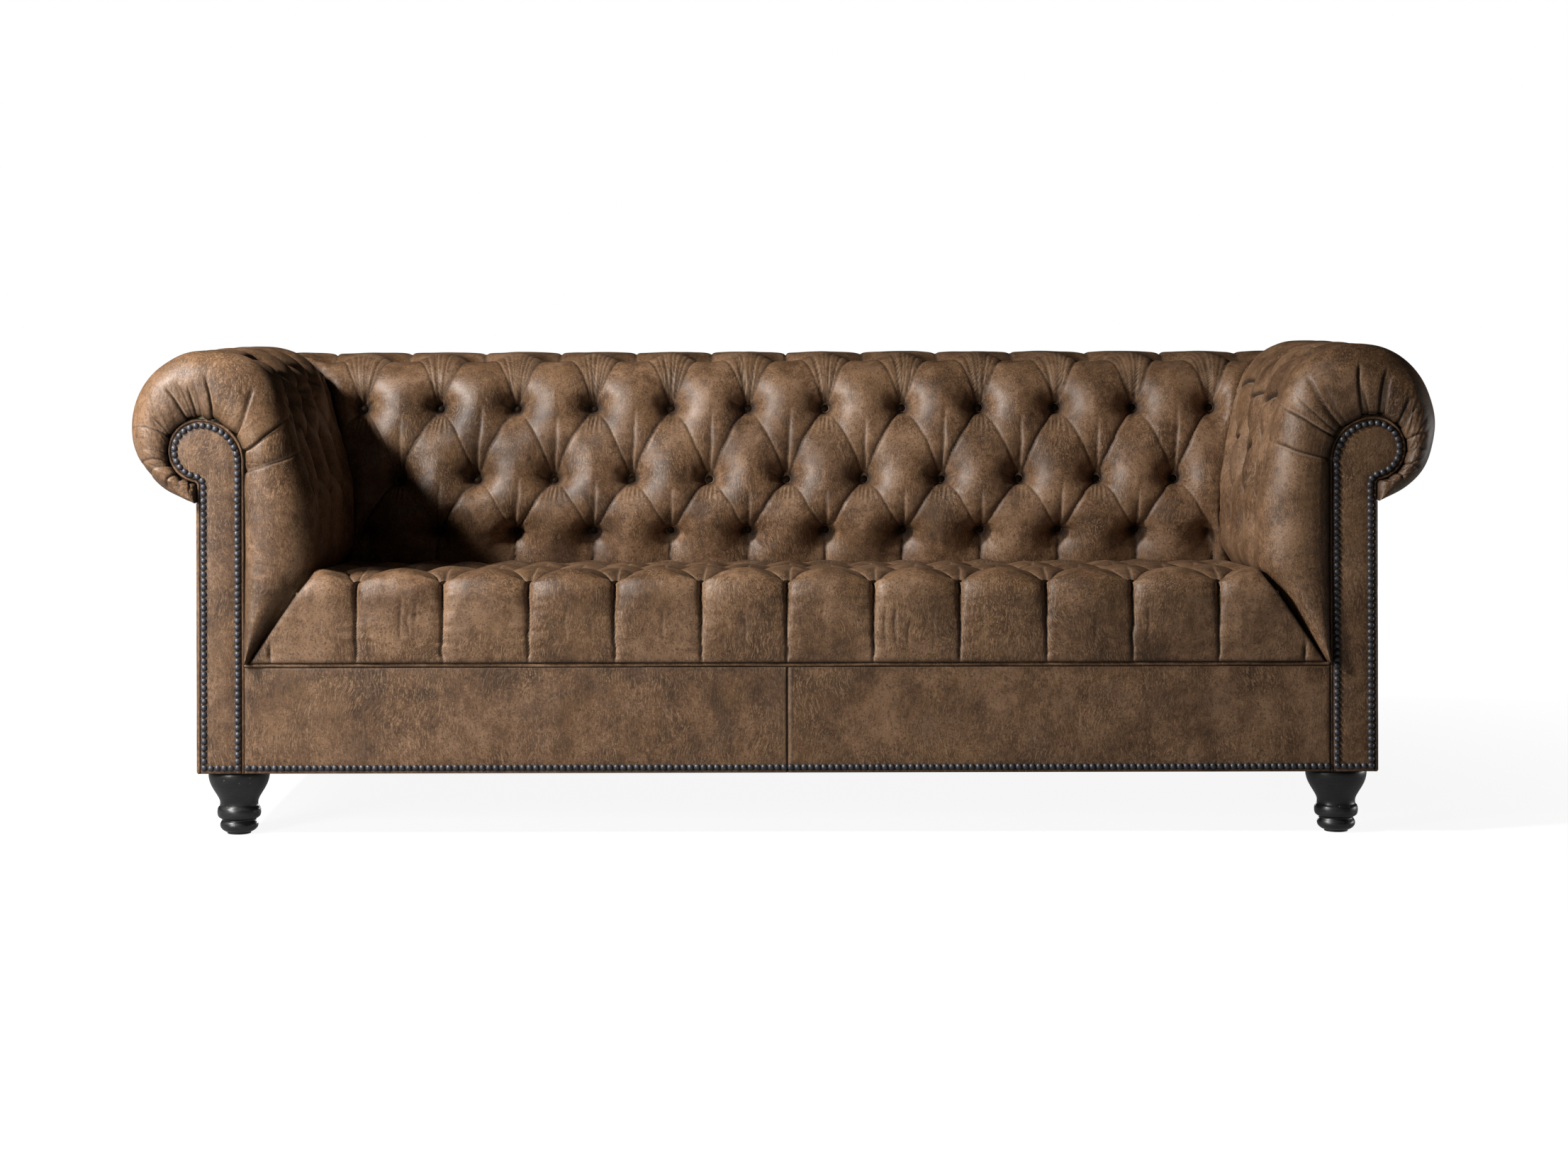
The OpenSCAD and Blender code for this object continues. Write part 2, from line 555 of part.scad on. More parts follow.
// Legs stand at the same inset from the outside, front and rear panels
leg_x = side_x - leg_inset;
leg_front_y = face_y + leg_inset;
leg_rear_y = rear_y - leg_inset;
bolt_room = 1;
leg_places = [[-leg_x, leg_front_y], [leg_x, leg_front_y], [-leg_x, leg_rear_y], [leg_x, leg_rear_y]];
module corner_blocks() color(BEECH) difference() {
    for (p = leg_places)
        translate([sign(p[0]) * inner_x, p[1] < 0 ? inner_front : inner_rear, base_z])
            mirror([p[0] > 0 ? 1 : 0, 0, 0]) mirror([0, p[1] < 0 ? 0 : 1, 0])
                linear_extrude(corner_block_height)
                    polygon([[0, 0], [corner_block_size, 0], [0, corner_block_size]]);
    for (p = leg_places) translate([p[0], p[1], base_z - cloth_thickness]) {
        cylinder(d = leg_bolt_diameter + bolt_room, h = corner_block_height + 2 * cloth_thickness);
        translate([0, 0, corner_block_height - t_nut_reach])
            cylinder(d = t_nut_barrel + fit_gap, h = corner_block_height);
    }
}

// Arm frames
board_room = 4;
board_inset = panel_thickness - facing_inset + board_room;
module scroll_board(side) color(PLYWOOD) in_place_x(side) translate([-side_x, 0, 0])
    upright(frame_front, board_rear) polygon(path_outline(facing_path(board_inset, rail_top, rail_top)));
rail_roll_gap = 5;
function rail_low(height) = height - roll_radius - top_rail_height - rail_roll_gap;
arm_rail_low = rail_low(arm_height);
back_rail_low = rail_low(sofa_height);
arm_frame_rear = corner_y(panel_thickness + rail_thickness + 2 * webbing_thickness);
rib_front = frame_rear - back_rib_depth;
module arm_posts() color(BEECH) for (side = [-1, 1], y = [board_rear, arm_frame_rear - post_width])
    in_place_x(side)
        block([-frame_x, y, rail_top], [-frame_x + rail_thickness, y + post_width, arm_rail_low]);
module arm_top_rail(side) color(BEECH) in_place_x(side) intersection() {
    block([-frame_x, board_rear, arm_rail_low],
        [-frame_x + arm_rail_depth, frame_rear, arm_rail_low + top_rail_height]);
    arm_side_of_corner(0);
}
module back_top_rail() color(BEECH) intersection() {
    block([-frame_x, rib_front, back_rail_low], [frame_x, frame_rear, back_rail_low + top_rail_height]);
    back_side_of_corners(0);
}
// Room that each pad and its frame keep to, a gap short of the corner planes
module arm_side_of_corner(gap) translate([-side_x, 0, foot_z - 1]) linear_extrude(sofa_height) polygon([
    [-roll_overhang, board_rear], [arm_thickness, board_rear],
    [arm_thickness, corner_y(arm_thickness) - gap], [-roll_overhang, corner_y(-roll_overhang) - gap]
]);
module back_side_of_corners(gap) translate([0, 0, foot_z - 1]) linear_extrude(sofa_height)
    polygon([for (u = [back_thickness, -roll_overhang], side = u > 0 ? [-1, 1] : [1, -1])
        [side * (corner_x(u) - gap), rear_y - u]]);
rib_corner_gap = 5;
rib_end_x = corner_x(back_rib_depth + panel_thickness) - rib_corner_gap;
module back_ribs() color(BEECH) for (i = [0:back_rib_count + 1]) {
    x = (rib_end_x - back_rib_width / 2) * (2 * i / (back_rib_count + 1) - 1);
    block([x - back_rib_width / 2, rib_front, rail_top],
        [x + back_rib_width / 2, frame_rear, back_rail_low]);
}

// Zigzag springs lie in clips on the front rail and the seat's rear rail
clip_reach = 8;
clip_width = 20;
clip_back = spring_wire / 2 + fit_gap + clip_sheet;
clip_mouth = clip_sheet + spring_wire + fit_gap;
clip_top = clip_mouth + clip_sheet;
edge_strip_depth = rail_thickness - 2 * clip_reach;
spring_front = inner_front - clip_reach;
spring_rear = seat_rail_y + rail_thickness / 2;
spring_bend = (spring_rear - spring_front) / spring_bends / 2;
spring_run = (spring_width - spring_wire) / 2 - spring_bend;
spring_end_share = 0.6;
spring_end = spring_end_share * spring_run;
spring_spacing = 2 * (seat_core_half(0) - spring_width) / spring_count;
function spring_x(i) = (i - (spring_count - 1) / 2) * spring_spacing;
function spring_side(i) = i % 2 == 0 ? 1 : -1;
function spring_line(offset) = concat([[-spring_end, -offset]], flat([for (i = [0:spring_bends - 1])
    let (side = spring_side(i), r = spring_bend + side * offset)
    [for (turn = [-90:60:90])
        [side * (spring_run + r * cos(turn)), (2 * i + 1) * spring_bend + r * sin(turn)]]]),
    let (side = spring_side(spring_bends - 1))
    [[-side * spring_end, 2 * spring_bends * spring_bend + side * offset]]);
function reversed(list) = [for (i = [len(list) - 1:-1:0]) list[i]];
module seat_springs() color(STEEL) for (i = [0:spring_count - 1])
    translate([spring_x(i), spring_front, rail_top + clip_sheet]) linear_extrude(spring_wire)
        polygon(concat(spring_line(-spring_wire / 2), reversed(spring_line(spring_wire / 2))));
module spring_clips() color(STEEL) for (i = [0:spring_count - 1], end = [0, 1])
    translate([spring_x(i), end == 0 ? spring_front : spring_rear, rail_top]) mirror([0, end, 0])
        sideways(-clip_width / 2, clip_width / 2) polygon([
            [-clip_reach, 0], [clip_reach, 0], [clip_reach, clip_sheet], [clip_back, clip_sheet],
            [clip_back, clip_top], [-clip_back, clip_top], [-clip_back, clip_mouth],
            [clip_back - clip_sheet, clip_mouth], [clip_back - clip_sheet, clip_sheet],
            [-clip_reach, clip_sheet]
        ]);
module front_edge_strip() color(BEECH)
    block([-front_panel_end, frame_front, rail_top],
        [front_panel_end, frame_front + edge_strip_depth, foot_z - fit_gap]);
front_panel_end = side_x - facing_inset - facing_width - piping_diameter - fit_gap;
deck_z = rail_top + clip_top;
module seat_deck_cloth() color(JUTE)
    block([-seat_core_half(0), spring_front - clip_reach + fit_gap, deck_z],
        [seat_core_half(0), seat_rail_y + rail_thickness, deck_z + cloth_thickness]);

// Webbing lies on the inner faces of the posts and ribs
function spread(low, high, pitch) = let (n = floor((high - low) / pitch))
    [for (i = [0:n]) mix(low, high, i / n)];
function web_heights(rail_z) = spread(rail_top + webbing_width, rail_z - webbing_width, level_web_pitch);
webbing_tail = 40;
webbing_end = 60;
level_web_pitch = 75;
back_web_pitch = 150;
arm_web_pitch = 120;
module back_webbing() color(JUTE) {
    for (z = web_heights(back_rail_low))
        block([-rib_end_x, rib_front - webbing_thickness, z - webbing_width / 2],
            [rib_end_x, rib_front, z + webbing_width / 2]);
    for (x = spread(-rib_end_x + webbing_end, rib_end_x - webbing_end, back_web_pitch))
        block([x - webbing_width / 2, rib_front - 2 * webbing_thickness, rail_top - webbing_tail],
            [x + webbing_width / 2, rib_front - webbing_thickness, back_rail_low - fit_gap]);
}
arm_web_x = -frame_x + rail_thickness;
module arm_webbing(side) color(JUTE) in_place_x(side) {
    for (y = spread(board_rear + post_width + webbing_width, seat_rail_y - webbing_width, arm_web_pitch))
        block([arm_web_x, y - webbing_width / 2, rail_top - webbing_tail],
            [arm_web_x + webbing_thickness, y + webbing_width / 2, arm_rail_low]);
    for (z = web_heights(arm_rail_low))
        block([arm_web_x + webbing_thickness, board_rear, z - webbing_width / 2],
            [arm_web_x + 2 * webbing_thickness, arm_frame_rear, z + webbing_width / 2]);
}

// Foam fills the space between webbing and cover, and lies round the top rails
function core_outline(circles, places, whole, skin) = let (path = pad_path(circles, skin))
    [for (s = places) path_point(path, s * path_length(path) / whole)];
function foam_outline(circles, places, whole, rail_z, rail_depth, web) = concat(
    core_outline(circles, places, whole, cover_thickness + fit_gap), [
        [panel_thickness - fit_gap, core_end(circles)],
        [panel_thickness - fit_gap, rail_z + top_rail_height + fit_gap],
        [rail_depth + fit_gap, rail_z + top_rail_height + fit_gap],
        [rail_depth + fit_gap, rail_z - fit_gap], [web, rail_z - fit_gap], [web, foot_z]
    ]);
function core_end(circles) = let (path = pad_path(circles, cover_thickness + fit_gap))
    path_point(path, path_length(path))[1];
module arm_foam(side) color(FOAM) in_place_x(side) intersection() {
    translate([-side_x, 0, 0]) upright(board_rear + fit_gap, rear_y + roll_overhang) polygon(foam_outline(
        arm_circles, arm_places, path_length(arm_path), arm_rail_low, panel_thickness + arm_rail_depth,
        panel_thickness + rail_thickness + 2 * webbing_thickness + fit_gap));
    arm_side_of_corner(2 * fit_gap);
}
module back_foam() color(FOAM) intersection() {
    sideways(-half_width, half_width) polygon([for (p = foam_outline(back_circles, back_places,
        path_length(back_path), back_rail_low, panel_thickness + back_rib_depth,
        panel_thickness + back_rib_depth + 2 * webbing_thickness + fit_gap)) [rear_y - p[0], p[1]]]);
    back_side_of_corners(2 * fit_gap);
}
module seat_foam() color(FOAM)
    sideways(-seat_core_half(fit_gap), seat_core_half(fit_gap)) polygon(concat(
        [for (s = seat_places) let (path = seat_path(seat_cover_thickness))
            let (d = s * path_length(path) / seat_length)
            let (p = path_point(path, d) - fit_gap * path_normal(path, d)) [-p[0], p[1]]],
        [[-seat_reach, deck_z + cloth_thickness],
            [front_y + seat_foot_setback + seat_cover_thickness + fit_gap, deck_z + cloth_thickness]]));

// Panels and piping
centre_seam = 1;
panel_edge = 3;
piping_sink = 1;
piping_sides = 6;
module facing_panel(side) color(LEATHER) in_place_x(side) translate([-side_x, 0, 0])
    upright(face_y, frame_front) polygon(path_outline(facing_path(0, base_z, base_z)));
piping_y = frame_front - piping_diameter / 2 - fit_gap;
module facing_piping(side) color(LEATHER_DARK) in_place_x(side) translate([-side_x, piping_y, 0]) {
    line = path_outline(facing_path(-piping_diameter / 2 - fit_gap / 2, base_z, base_z));
    n = len(line);
    sides = piping_sides;
    far = (n - 1) * sides;
    ring = [for (i = [0:n - 1]) let (before = line[max(i - 1, 0)], after = line[min(i + 1, n - 1)])
        let (run = (after - before) / norm(after - before), out = [run[1], -run[0]])
        for (k = [0:sides - 1]) let (d = piping_diameter / 2 * unit(360 * k / sides))
            [line[i][0] + out[0] * d[0], d[1], line[i][1] + out[1] * d[0]]];
    polyhedron(ring, concat(
        [for (i = [0:n - 2], k = [0:sides - 1]) let (a = i * sides + k, b = i * sides + (k + 1) % sides)
            each [[a, b + sides, b], [a, a + sides, b + sides]]],
        [for (k = [1:sides - 2]) each [[0, k, k + 1], [far, far + k + 1, far + k]]]));
}
module front_panel(side) color(LEATHER) in_place_x(side)
    sideways(-front_panel_end, -centre_seam / 2) polygon(concat(
        [for (turn = [180:-15:90]) [face_y + panel_edge, apron_top - panel_edge] + panel_edge * unit(turn)],
        [[frame_front, apron_top], [frame_front, base_z]],
        [for (turn = [270:-15:180]) [face_y + panel_edge, base_z + panel_edge] + panel_edge * unit(turn)]));
seat_piping_y = face_y + seat_piping_diameter / 2 - piping_sink;
module seat_piping() color(LEATHER_DARK)
    translate([-front_panel_end, seat_piping_y, apron_top + seat_piping_diameter / 2])
        rotate([0, 90, 0]) cylinder(d = seat_piping_diameter - fit_gap, h = 2 * front_panel_end);
module outside_arm(side) color(LEATHER) in_place_x(side)
    block([-side_x, frame_front, base_z],
        [-frame_x, frame_rear, path_point(arm_path, path_length(arm_path))[1] - fit_gap]);
module outside_back() color(LEATHER)
    block([-side_x, frame_rear, base_z],
        [side_x, rear_y, path_point(back_path, path_length(back_path))[1] - fit_gap]);
leg_cut_gap = 2;
module dust_cover() color(BLACK_CLOTH) difference() {
    block([-inner_x, inner_front - rail_thickness / 2, base_z - cloth_thickness],
        [inner_x, inner_rear + rail_thickness / 2, base_z]);
    for (p = leg_places) translate([p[0], p[1], base_z - 2 * cloth_thickness])
        cylinder(d = leg_diameter + 2 * leg_cut_gap, h = 3 * cloth_thickness);
}

// A covered button tapers to the cord that draws it into its well
module tuft_button() {
    r = button_diameter / 2;
    low = 1.5 * fit_gap;
    translate([0, 0, low]) cylinder(r1 = 0, r2 = r, h = r);
    translate([0, 0, low + r]) cylinder(r1 = r, r2 = 0.55 * r, h = button_dome);
}
module button_at(path, s, depth) {
    p = path_point(path, s) - depth * path_normal(path, s);
    n = path_normal(path, s);
    translate([0, -p[0], p[1]]) rotate([atan2(n[0], n[1]), 0, 0]) tuft_button();
}
function row_buttons(m, shift, low, high) = let (start = (shift - m / 2) * tuft_spacing)
    let (first = ceil((low - start) / tuft_spacing), last = floor((high - start) / tuft_spacing))
    [for (k = [first:last]) start + k * tuft_spacing];
module back_buttons() color(BUTTON_BROWN) for (m = [0:back_rows])
    for (x = row_buttons(m, back_shift_share, -back_columns * column_step, back_columns * column_step))
        translate([x, rear_y, 0]) button_at(back_path, back_first_row + m * back_row_pitch, tuft_depth);
module seat_buttons() color(BUTTON_BROWN) for (m = [0:seat_rows])
    for (x = row_buttons(m, 0, -seat_columns * column_step, seat_columns * column_step))
        translate([x, 0, 0]) button_at(seat_outline, seat_first_row + m * seat_row_pitch, seat_tuft_depth);
module arm_buttons(side) color(BUTTON_BROWN) in_place_x(side) {
    first = border_y + button_diameter / 2 - arm_lattice_y;
    for (m = [0:arm_rows], dy = row_buttons(m, 0, first, arm_last_y - arm_lattice_y)) {
        y = arm_lattice_y + dy;
        s = arm_first_row + m * arm_row_pitch;
        translate([-side_x, y, arm_rise(y, path_point(arm_path, s)[1])])
            rotate([0, 0, 90]) button_at(arm_path, s, tuft_depth);
    }
}

// Nails
module nail() {
    r = (pow(nail_diameter / 2, 2) + pow(nail_height, 2)) / (2 * nail_height);
    rotate([90, 0, 0]) intersection() {
        translate([0, 0, nail_height - r]) sphere(r);
        cylinder(d = nail_diameter + 1, h = nail_height + 1);
    }
}
nail_z = base_z + nail_lift;
module facing_nails(side) color(NAIL_GREY) in_place_x(side) translate([-side_x, face_y, 0]) {
    path = facing_path(nail_inset, nail_z, nail_z);
    length = path_length(path);
    count = round(length / nail_pitch);
    for (i = [0:count]) let (p = path_point(path, length * i / count)) translate([p[0], 0, p[1]]) nail();
    gap = facing_width - 2 * nail_inset;
    across = floor(gap / nail_pitch);
    for (i = [1:across - 1]) translate([facing_inset + nail_inset + gap * i / across, 0, nail_z]) nail();
}
module front_panel_nails() color(NAIL_GREY) {
    length = 2 * (front_panel_end - nail_pitch / 2);
    count = round(length / nail_pitch / 2) * 2 - 1;
    for (i = [0:count]) translate([length * (i / count - 0.5), face_y, nail_z]) nail();
}

// Turned legs: a full shoulder, a neck, a ring between two grooves and a foot
leg_top_edge = 10;
leg_shoulder_power = 1.7;
leg_groove = 3.5;
leg_foot_round = 8;
leg_fillet = 0.5;
leg_bead_step = 2;
leg_lower_neck = leg_ring_low - leg_groove - leg_fillet;
module leg_profile() {
    wide = leg_diameter / 2;
    neck = leg_neck_diameter / 2;
    ring = leg_ring_diameter / 2 - leg_groove;
    foot = leg_foot_diameter / 2;
    shoulder_z = leg_height - leg_top_edge;
    foot_low = glide_thickness + 2 * leg_fillet;
    foot_high = leg_lower_neck - leg_bead_step;
    polygon(concat(
        [[0, glide_thickness], [glide_diameter / 2 + leg_bead_step, glide_thickness]],
        [for (turn = [-75:15:0])
            [foot - leg_foot_round * (1 - cos(turn)), mix(leg_foot_z, foot_low, -sin(turn))]],
        [for (turn = [25:25:75])
            [foot - leg_groove * (1 - cos(turn)), mix(leg_foot_z, foot_high, sin(turn))]],
        [[foot - leg_groove, leg_lower_neck], [ring, leg_ring_low]],
        [for (turn = [-75:25:75])
            [ring + leg_groove * cos(turn), mix(leg_ring_low, leg_ring_top, 0.5 + 0.46 * sin(turn))]],
        [[neck + leg_fillet, leg_ring_top], [neck, leg_ring_top + leg_bead_step]],
        [for (turn = [0:9:90]) [mix(neck, wide, pow(sin(turn), leg_shoulder_power)),
            mix(leg_neck_z, shoulder_z, turn / 90)]],
        [for (turn = [22.5:22.5:90]) [wide - leg_top_edge / 2 * (1 - cos(turn)),
            shoulder_z + leg_top_edge * sin(turn)]],
        [[0, leg_height]]));
}
module leg(i) color(BLACK_WOOD) translate([leg_places[i][0], leg_places[i][1], 0]) difference() {
    rotate_extrude() leg_profile();
    translate([0, 0, leg_height - leg_bolt_depth])
        cylinder(d = leg_bolt_diameter + fit_gap, h = leg_bolt_depth + 1);
}
module glide(i) color(BLACK_CLOTH) translate([leg_places[i][0], leg_places[i][1], 0])
    cylinder(d = glide_diameter, h = glide_thickness);
module leg_bolts() color(STEEL) for (p = leg_places)
    translate([p[0], p[1], leg_height - leg_bolt_depth])
        cylinder(d = leg_bolt_diameter, h = leg_bolt_depth + leg_bolt_reach);
t_nut_flange = 24;
t_nut_sheet = 1.6;
t_nut_wall = 1.5;
t_nut_barrel = leg_bolt_diameter + 2 * t_nut_wall;
t_nut_reach = 12;
module leg_t_nuts() color(STEEL) for (p = leg_places)
    translate([p[0], p[1], base_z + corner_block_height]) difference() {
        union() {
            cylinder(d = t_nut_flange, h = t_nut_sheet);
            translate([0, 0, fit_gap - t_nut_reach]) cylinder(d = t_nut_barrel, h = t_nut_reach);
        }
        translate([0, 0, -t_nut_reach]) cylinder(d = leg_bolt_diameter + fit_gap, h = 2 * t_nut_reach);
    }

front_rail();
rear_rail();
side_rail(-1);  // left_side_rail
side_rail(1);  // right_side_rail
seat_rear_rail();
seat_stretchers();
corner_blocks();
scroll_board(-1);  // left_scroll_board
scroll_board(1);  // right_scroll_board
arm_posts();
arm_top_rail(-1);  // left_arm_top_rail
arm_top_rail(1);  // right_arm_top_rail
back_top_rail();
back_ribs();
seat_springs();
spring_clips();
seat_deck_cloth();
front_edge_strip();
back_webbing();
arm_webbing(-1);  // left_arm_webbing
arm_webbing(1);  // right_arm_webbing
seat_foam();
back_foam();
arm_foam(-1);  // left_arm_foam
arm_foam(1);  // right_arm_foam
seat_cover();
back_cover();
arm_cover(-1);  // left_arm_cover
arm_cover(1);  // right_arm_cover
facing_panel(-1);  // left_facing_panel
facing_panel(1);  // right_facing_panel
facing_piping(-1);  // left_facing_piping
facing_piping(1);  // right_facing_piping
front_panel(-1);  // left_front_panel
front_panel(1);  // right_front_panel
seat_piping();
outside_arm(-1);  // left_outside_arm
outside_arm(1);  // right_outside_arm
outside_back();
dust_cover();
seat_buttons();
back_buttons();
arm_buttons(-1);  // left_arm_buttons
arm_buttons(1);  // right_arm_buttons
facing_nails(-1);  // left_facing_nails
facing_nails(1);  // right_facing_nails
front_panel_nails();
leg(0);  // front_left_leg
leg(1);  // front_right_leg
leg(2);  // rear_left_leg
leg(3);  // rear_right_leg
glide(0);  // front_left_glide
glide(1);  // front_right_glide
glide(2);  // rear_left_glide
glide(3);  // rear_right_glide
leg_bolts();
leg_t_nuts();
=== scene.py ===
import math
import bpy
import numpy as np
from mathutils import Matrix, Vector


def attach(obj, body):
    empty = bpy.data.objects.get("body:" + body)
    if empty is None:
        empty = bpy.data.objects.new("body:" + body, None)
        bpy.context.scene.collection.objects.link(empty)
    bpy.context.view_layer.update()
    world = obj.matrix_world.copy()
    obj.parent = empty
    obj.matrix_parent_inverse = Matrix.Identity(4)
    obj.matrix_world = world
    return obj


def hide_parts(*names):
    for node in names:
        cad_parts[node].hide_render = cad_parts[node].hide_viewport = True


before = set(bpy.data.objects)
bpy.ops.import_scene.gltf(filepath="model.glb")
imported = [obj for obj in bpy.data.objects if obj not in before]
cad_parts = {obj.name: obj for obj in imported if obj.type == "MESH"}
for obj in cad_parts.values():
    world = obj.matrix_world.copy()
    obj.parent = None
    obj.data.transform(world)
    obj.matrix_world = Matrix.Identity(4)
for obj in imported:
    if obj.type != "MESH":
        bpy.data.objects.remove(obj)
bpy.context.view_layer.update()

# Sizes in millimetres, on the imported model's own frame: the sofa faces -y, left is -x
MM = 0.001
HALF_WIDTH = 1109.0
SIDE_X = 1002.0
FRONT_Y = -475.0
FACE_Y = -458.0
REAR_Y = 368.0
BASE_Z = 110.0
APRON_TOP = 289.5
FOOT_Z = 296.5
PANEL = 8.0
SCROLL_BOARD = 20.0
FRAME_FRONT = FACE_Y + PANEL
FRAME_REAR = REAR_Y - PANEL
GAP = 0.4
WORDS = {-1: "left", 1: "right"}

# The mitred corners between arms and back: how far the pads reach inwards and over the outside
OVERHANG = 107.0
ARM_REACH = 160.0
BACK_REACH = 228.0
CORNER_RATIO = (BACK_REACH + OVERHANG) / (ARM_REACH + OVERHANG)

# Button spacing along a row, facings and piping
SPACING = 146.0
FACING_INSET = 8.5
FACING_WIDTH = 69.0
PIPING = 5.0
SEAT_PIPING = 6.6
SEAT_PIPING_Z = 293.0


def smooth(t):
    """An even step from 0 to 1."""
    t = np.clip(t, 0.0, 1.0)
    return t * t * (3.0 - 2.0 * t)


def mix(a, b, t):
    return a + (b - a) * t


def bell(q, width):
    return np.exp(-(q / width) ** 2)


def cell_random(i, j, seed):
    """A number from 0 to 1 that belongs to a cell."""
    n = np.sin(i * 127.1 + j * 311.7 + seed * 74.7) * 43758.5453
    return n - np.floor(n)


def noise(x, y, seed):
    """Smooth noise from -1 to 1 with features about one unit across."""
    i, j = np.floor(x), np.floor(y)
    fx, fy = smooth(x - i), smooth(y - j)
    low = mix(cell_random(i, j, seed), cell_random(i + 1, j, seed), fx)
    high = mix(cell_random(i, j + 1, seed), cell_random(i + 1, j + 1, seed), fx)
    return 2.0 * mix(low, high, fy) - 1.0


def uneven(x, y, seed, broad, broad_size, fine, fine_size):
    """Noise in two sizes, as leather never lies quite even."""
    out = broad * noise(x / broad_size[0], y / broad_size[1], seed)
    return out + fine * noise(x / fine_size[0], y / fine_size[1], seed + 1)


# Outlines of the pads: a taut line round circles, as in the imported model


def tangent_angle(a, b):
    """Direction in which a taut line touches both circles."""
    dx, dz = b[0] - a[0], b[1] - a[1]
    return math.atan2(dz, dx) % (2 * math.pi) - math.acos((a[2] - b[2]) / math.hypot(dx, dz))


def wrap_path(circles, end_angle):
    """Lines and arcs round circles (distance, height, radius) in turn."""
    pieces = []
    for i in range(len(circles) - 1):
        a, b = circles[i], circles[i + 1]
        turn = tangent_angle(a, b)
        far = tangent_angle(b, circles[i + 2]) if i + 2 < len(circles) else end_angle
        start = (a[0] + a[2] * math.cos(turn), a[1] + a[2] * math.sin(turn))
        end = (b[0] + b[2] * math.cos(turn), b[1] + b[2] * math.sin(turn))
        pieces.append(("line", start, end))
        if b[2] > 0:
            pieces.append(("arc", (b[0], b[1]), b[2], turn, far))
    return pieces


class Outline:
    """A path in (inward distance, height), with points and outward normals by length."""

    def __init__(self, pieces, step=0.5):
        points, normals = [], []
        for p in pieces:
            if p[0] == "line":
                a, b = np.array(p[1]), np.array(p[2])
                n = max(2, int(np.linalg.norm(b - a) / step))
                t = np.linspace(0, 1, n)[:, None]
                run = (b - a) / np.linalg.norm(b - a)
                points.append(a + (b - a) * t)
                normals.append(np.repeat([[run[1], -run[0]]], n, 0))
            else:
                _, c, r, a0, a1 = p
                n = max(2, int(abs(a1 - a0) * r / step))
                t = np.linspace(a0, a1, n)
                ray = np.stack([np.cos(t), np.sin(t)], 1)
                points.append(np.array(c) + r * ray)
                normals.append(ray * (1.0 if a1 > a0 else -1.0))
        self.p, self.n = np.concatenate(points), np.concatenate(normals)
        jumps = np.linalg.norm(np.diff(self.p, axis=0), axis=1)
        self.s = np.concatenate([[0.0], np.cumsum(jumps)])
        self.s += np.arange(len(self.s)) * 1e-9
        self.length = self.s[-1]

    def at(self, s):
        u, z, nu, nz = (np.interp(s, self.s, c) for c in (*self.p.T, *self.n.T))
        size = np.hypot(nu, nz)
        return u, z, nu / size, nz / size


def pad_outline(circles, skin=0.0):
    """A pad from its foot over its roll to its far seam, or its core under a skin."""
    inner = [(circles[0][0] - skin, circles[0][1], 0.0)]
    inner += [(c[0], c[1], c[2] - skin) for c in circles[1:]]
    roll = inner[-1]
    return Outline(wrap_path(inner, 2 * math.pi - math.acos(-roll[0] / roll[2])))


ROLL = 125.0
PAD_CORE = 46.0
ARM_CIRCLES = [(89, FOOT_Z, 0), (139, 475, 60), (89, 556, 110), (35, 693, ROLL), (18, 693, ROLL)]
BACK_CIRCLES = [(200, FOOT_Z, 0), (73, 516, 200), (103, 683, ROLL), (18, 683, ROLL)]
ARM, ARM_CORE = pad_outline(ARM_CIRCLES), pad_outline(ARM_CIRCLES, PAD_CORE)
BACK, BACK_CORE = pad_outline(BACK_CIRCLES), pad_outline(BACK_CIRCLES, PAD_CORE)

# Circles of a facing's scroll: centre (inward distance, height) and radius
HEAD = (8.0, 657.0, 49.0)
BIG_HEAD = (8.0, 636.5, 69.5)
HOLLOW = (-3.5, 597.1, 12.0)
HOLLOW_TURN = 2 * math.pi + math.atan2(HOLLOW[1] - HEAD[1], HOLLOW[0] - HEAD[0])


def facing_pieces(inset, z0, z1):
    """A facing's outline, drawn in by an inset, from the height z0 inside to z1 outside."""
    edge = FACING_INSET + FACING_WIDTH - inset
    return [
        ("line", (edge, z0), (edge, BIG_HEAD[1])),
        ("arc", BIG_HEAD[:2], BIG_HEAD[2] - inset, 0.0, math.pi / 2),
        ("arc", HEAD[:2], HEAD[2] - inset, math.pi / 2, HOLLOW_TURN),
        ("arc", HOLLOW[:2], HOLLOW[2] + inset, HOLLOW_TURN - math.pi, 0.0),
        ("line", (FACING_INSET + inset, HOLLOW[1]), (FACING_INSET + inset, z1)),
    ]


def corner_x(u):
    """Half width of the back's pad at an inward distance."""
    return HALF_WIDTH - (u + OVERHANG) / CORNER_RATIO - GAP


def corner_y(u):
    """Rear end of an arm's pad at an inward distance."""
    return REAR_Y + OVERHANG - (u + OVERHANG) * CORNER_RATIO - GAP


def resample(points, step):
    """Even places along a line of points."""
    points = np.asarray(points, float)
    length = np.concatenate([[0], np.cumsum(np.linalg.norm(np.diff(points, axis=0), axis=1))])
    s = np.linspace(0, length[-1], max(2, int(length[-1] / step)))
    return np.stack([np.interp(s, length, points[:, k]) for k in range(points.shape[1])], 1)


# Meshes


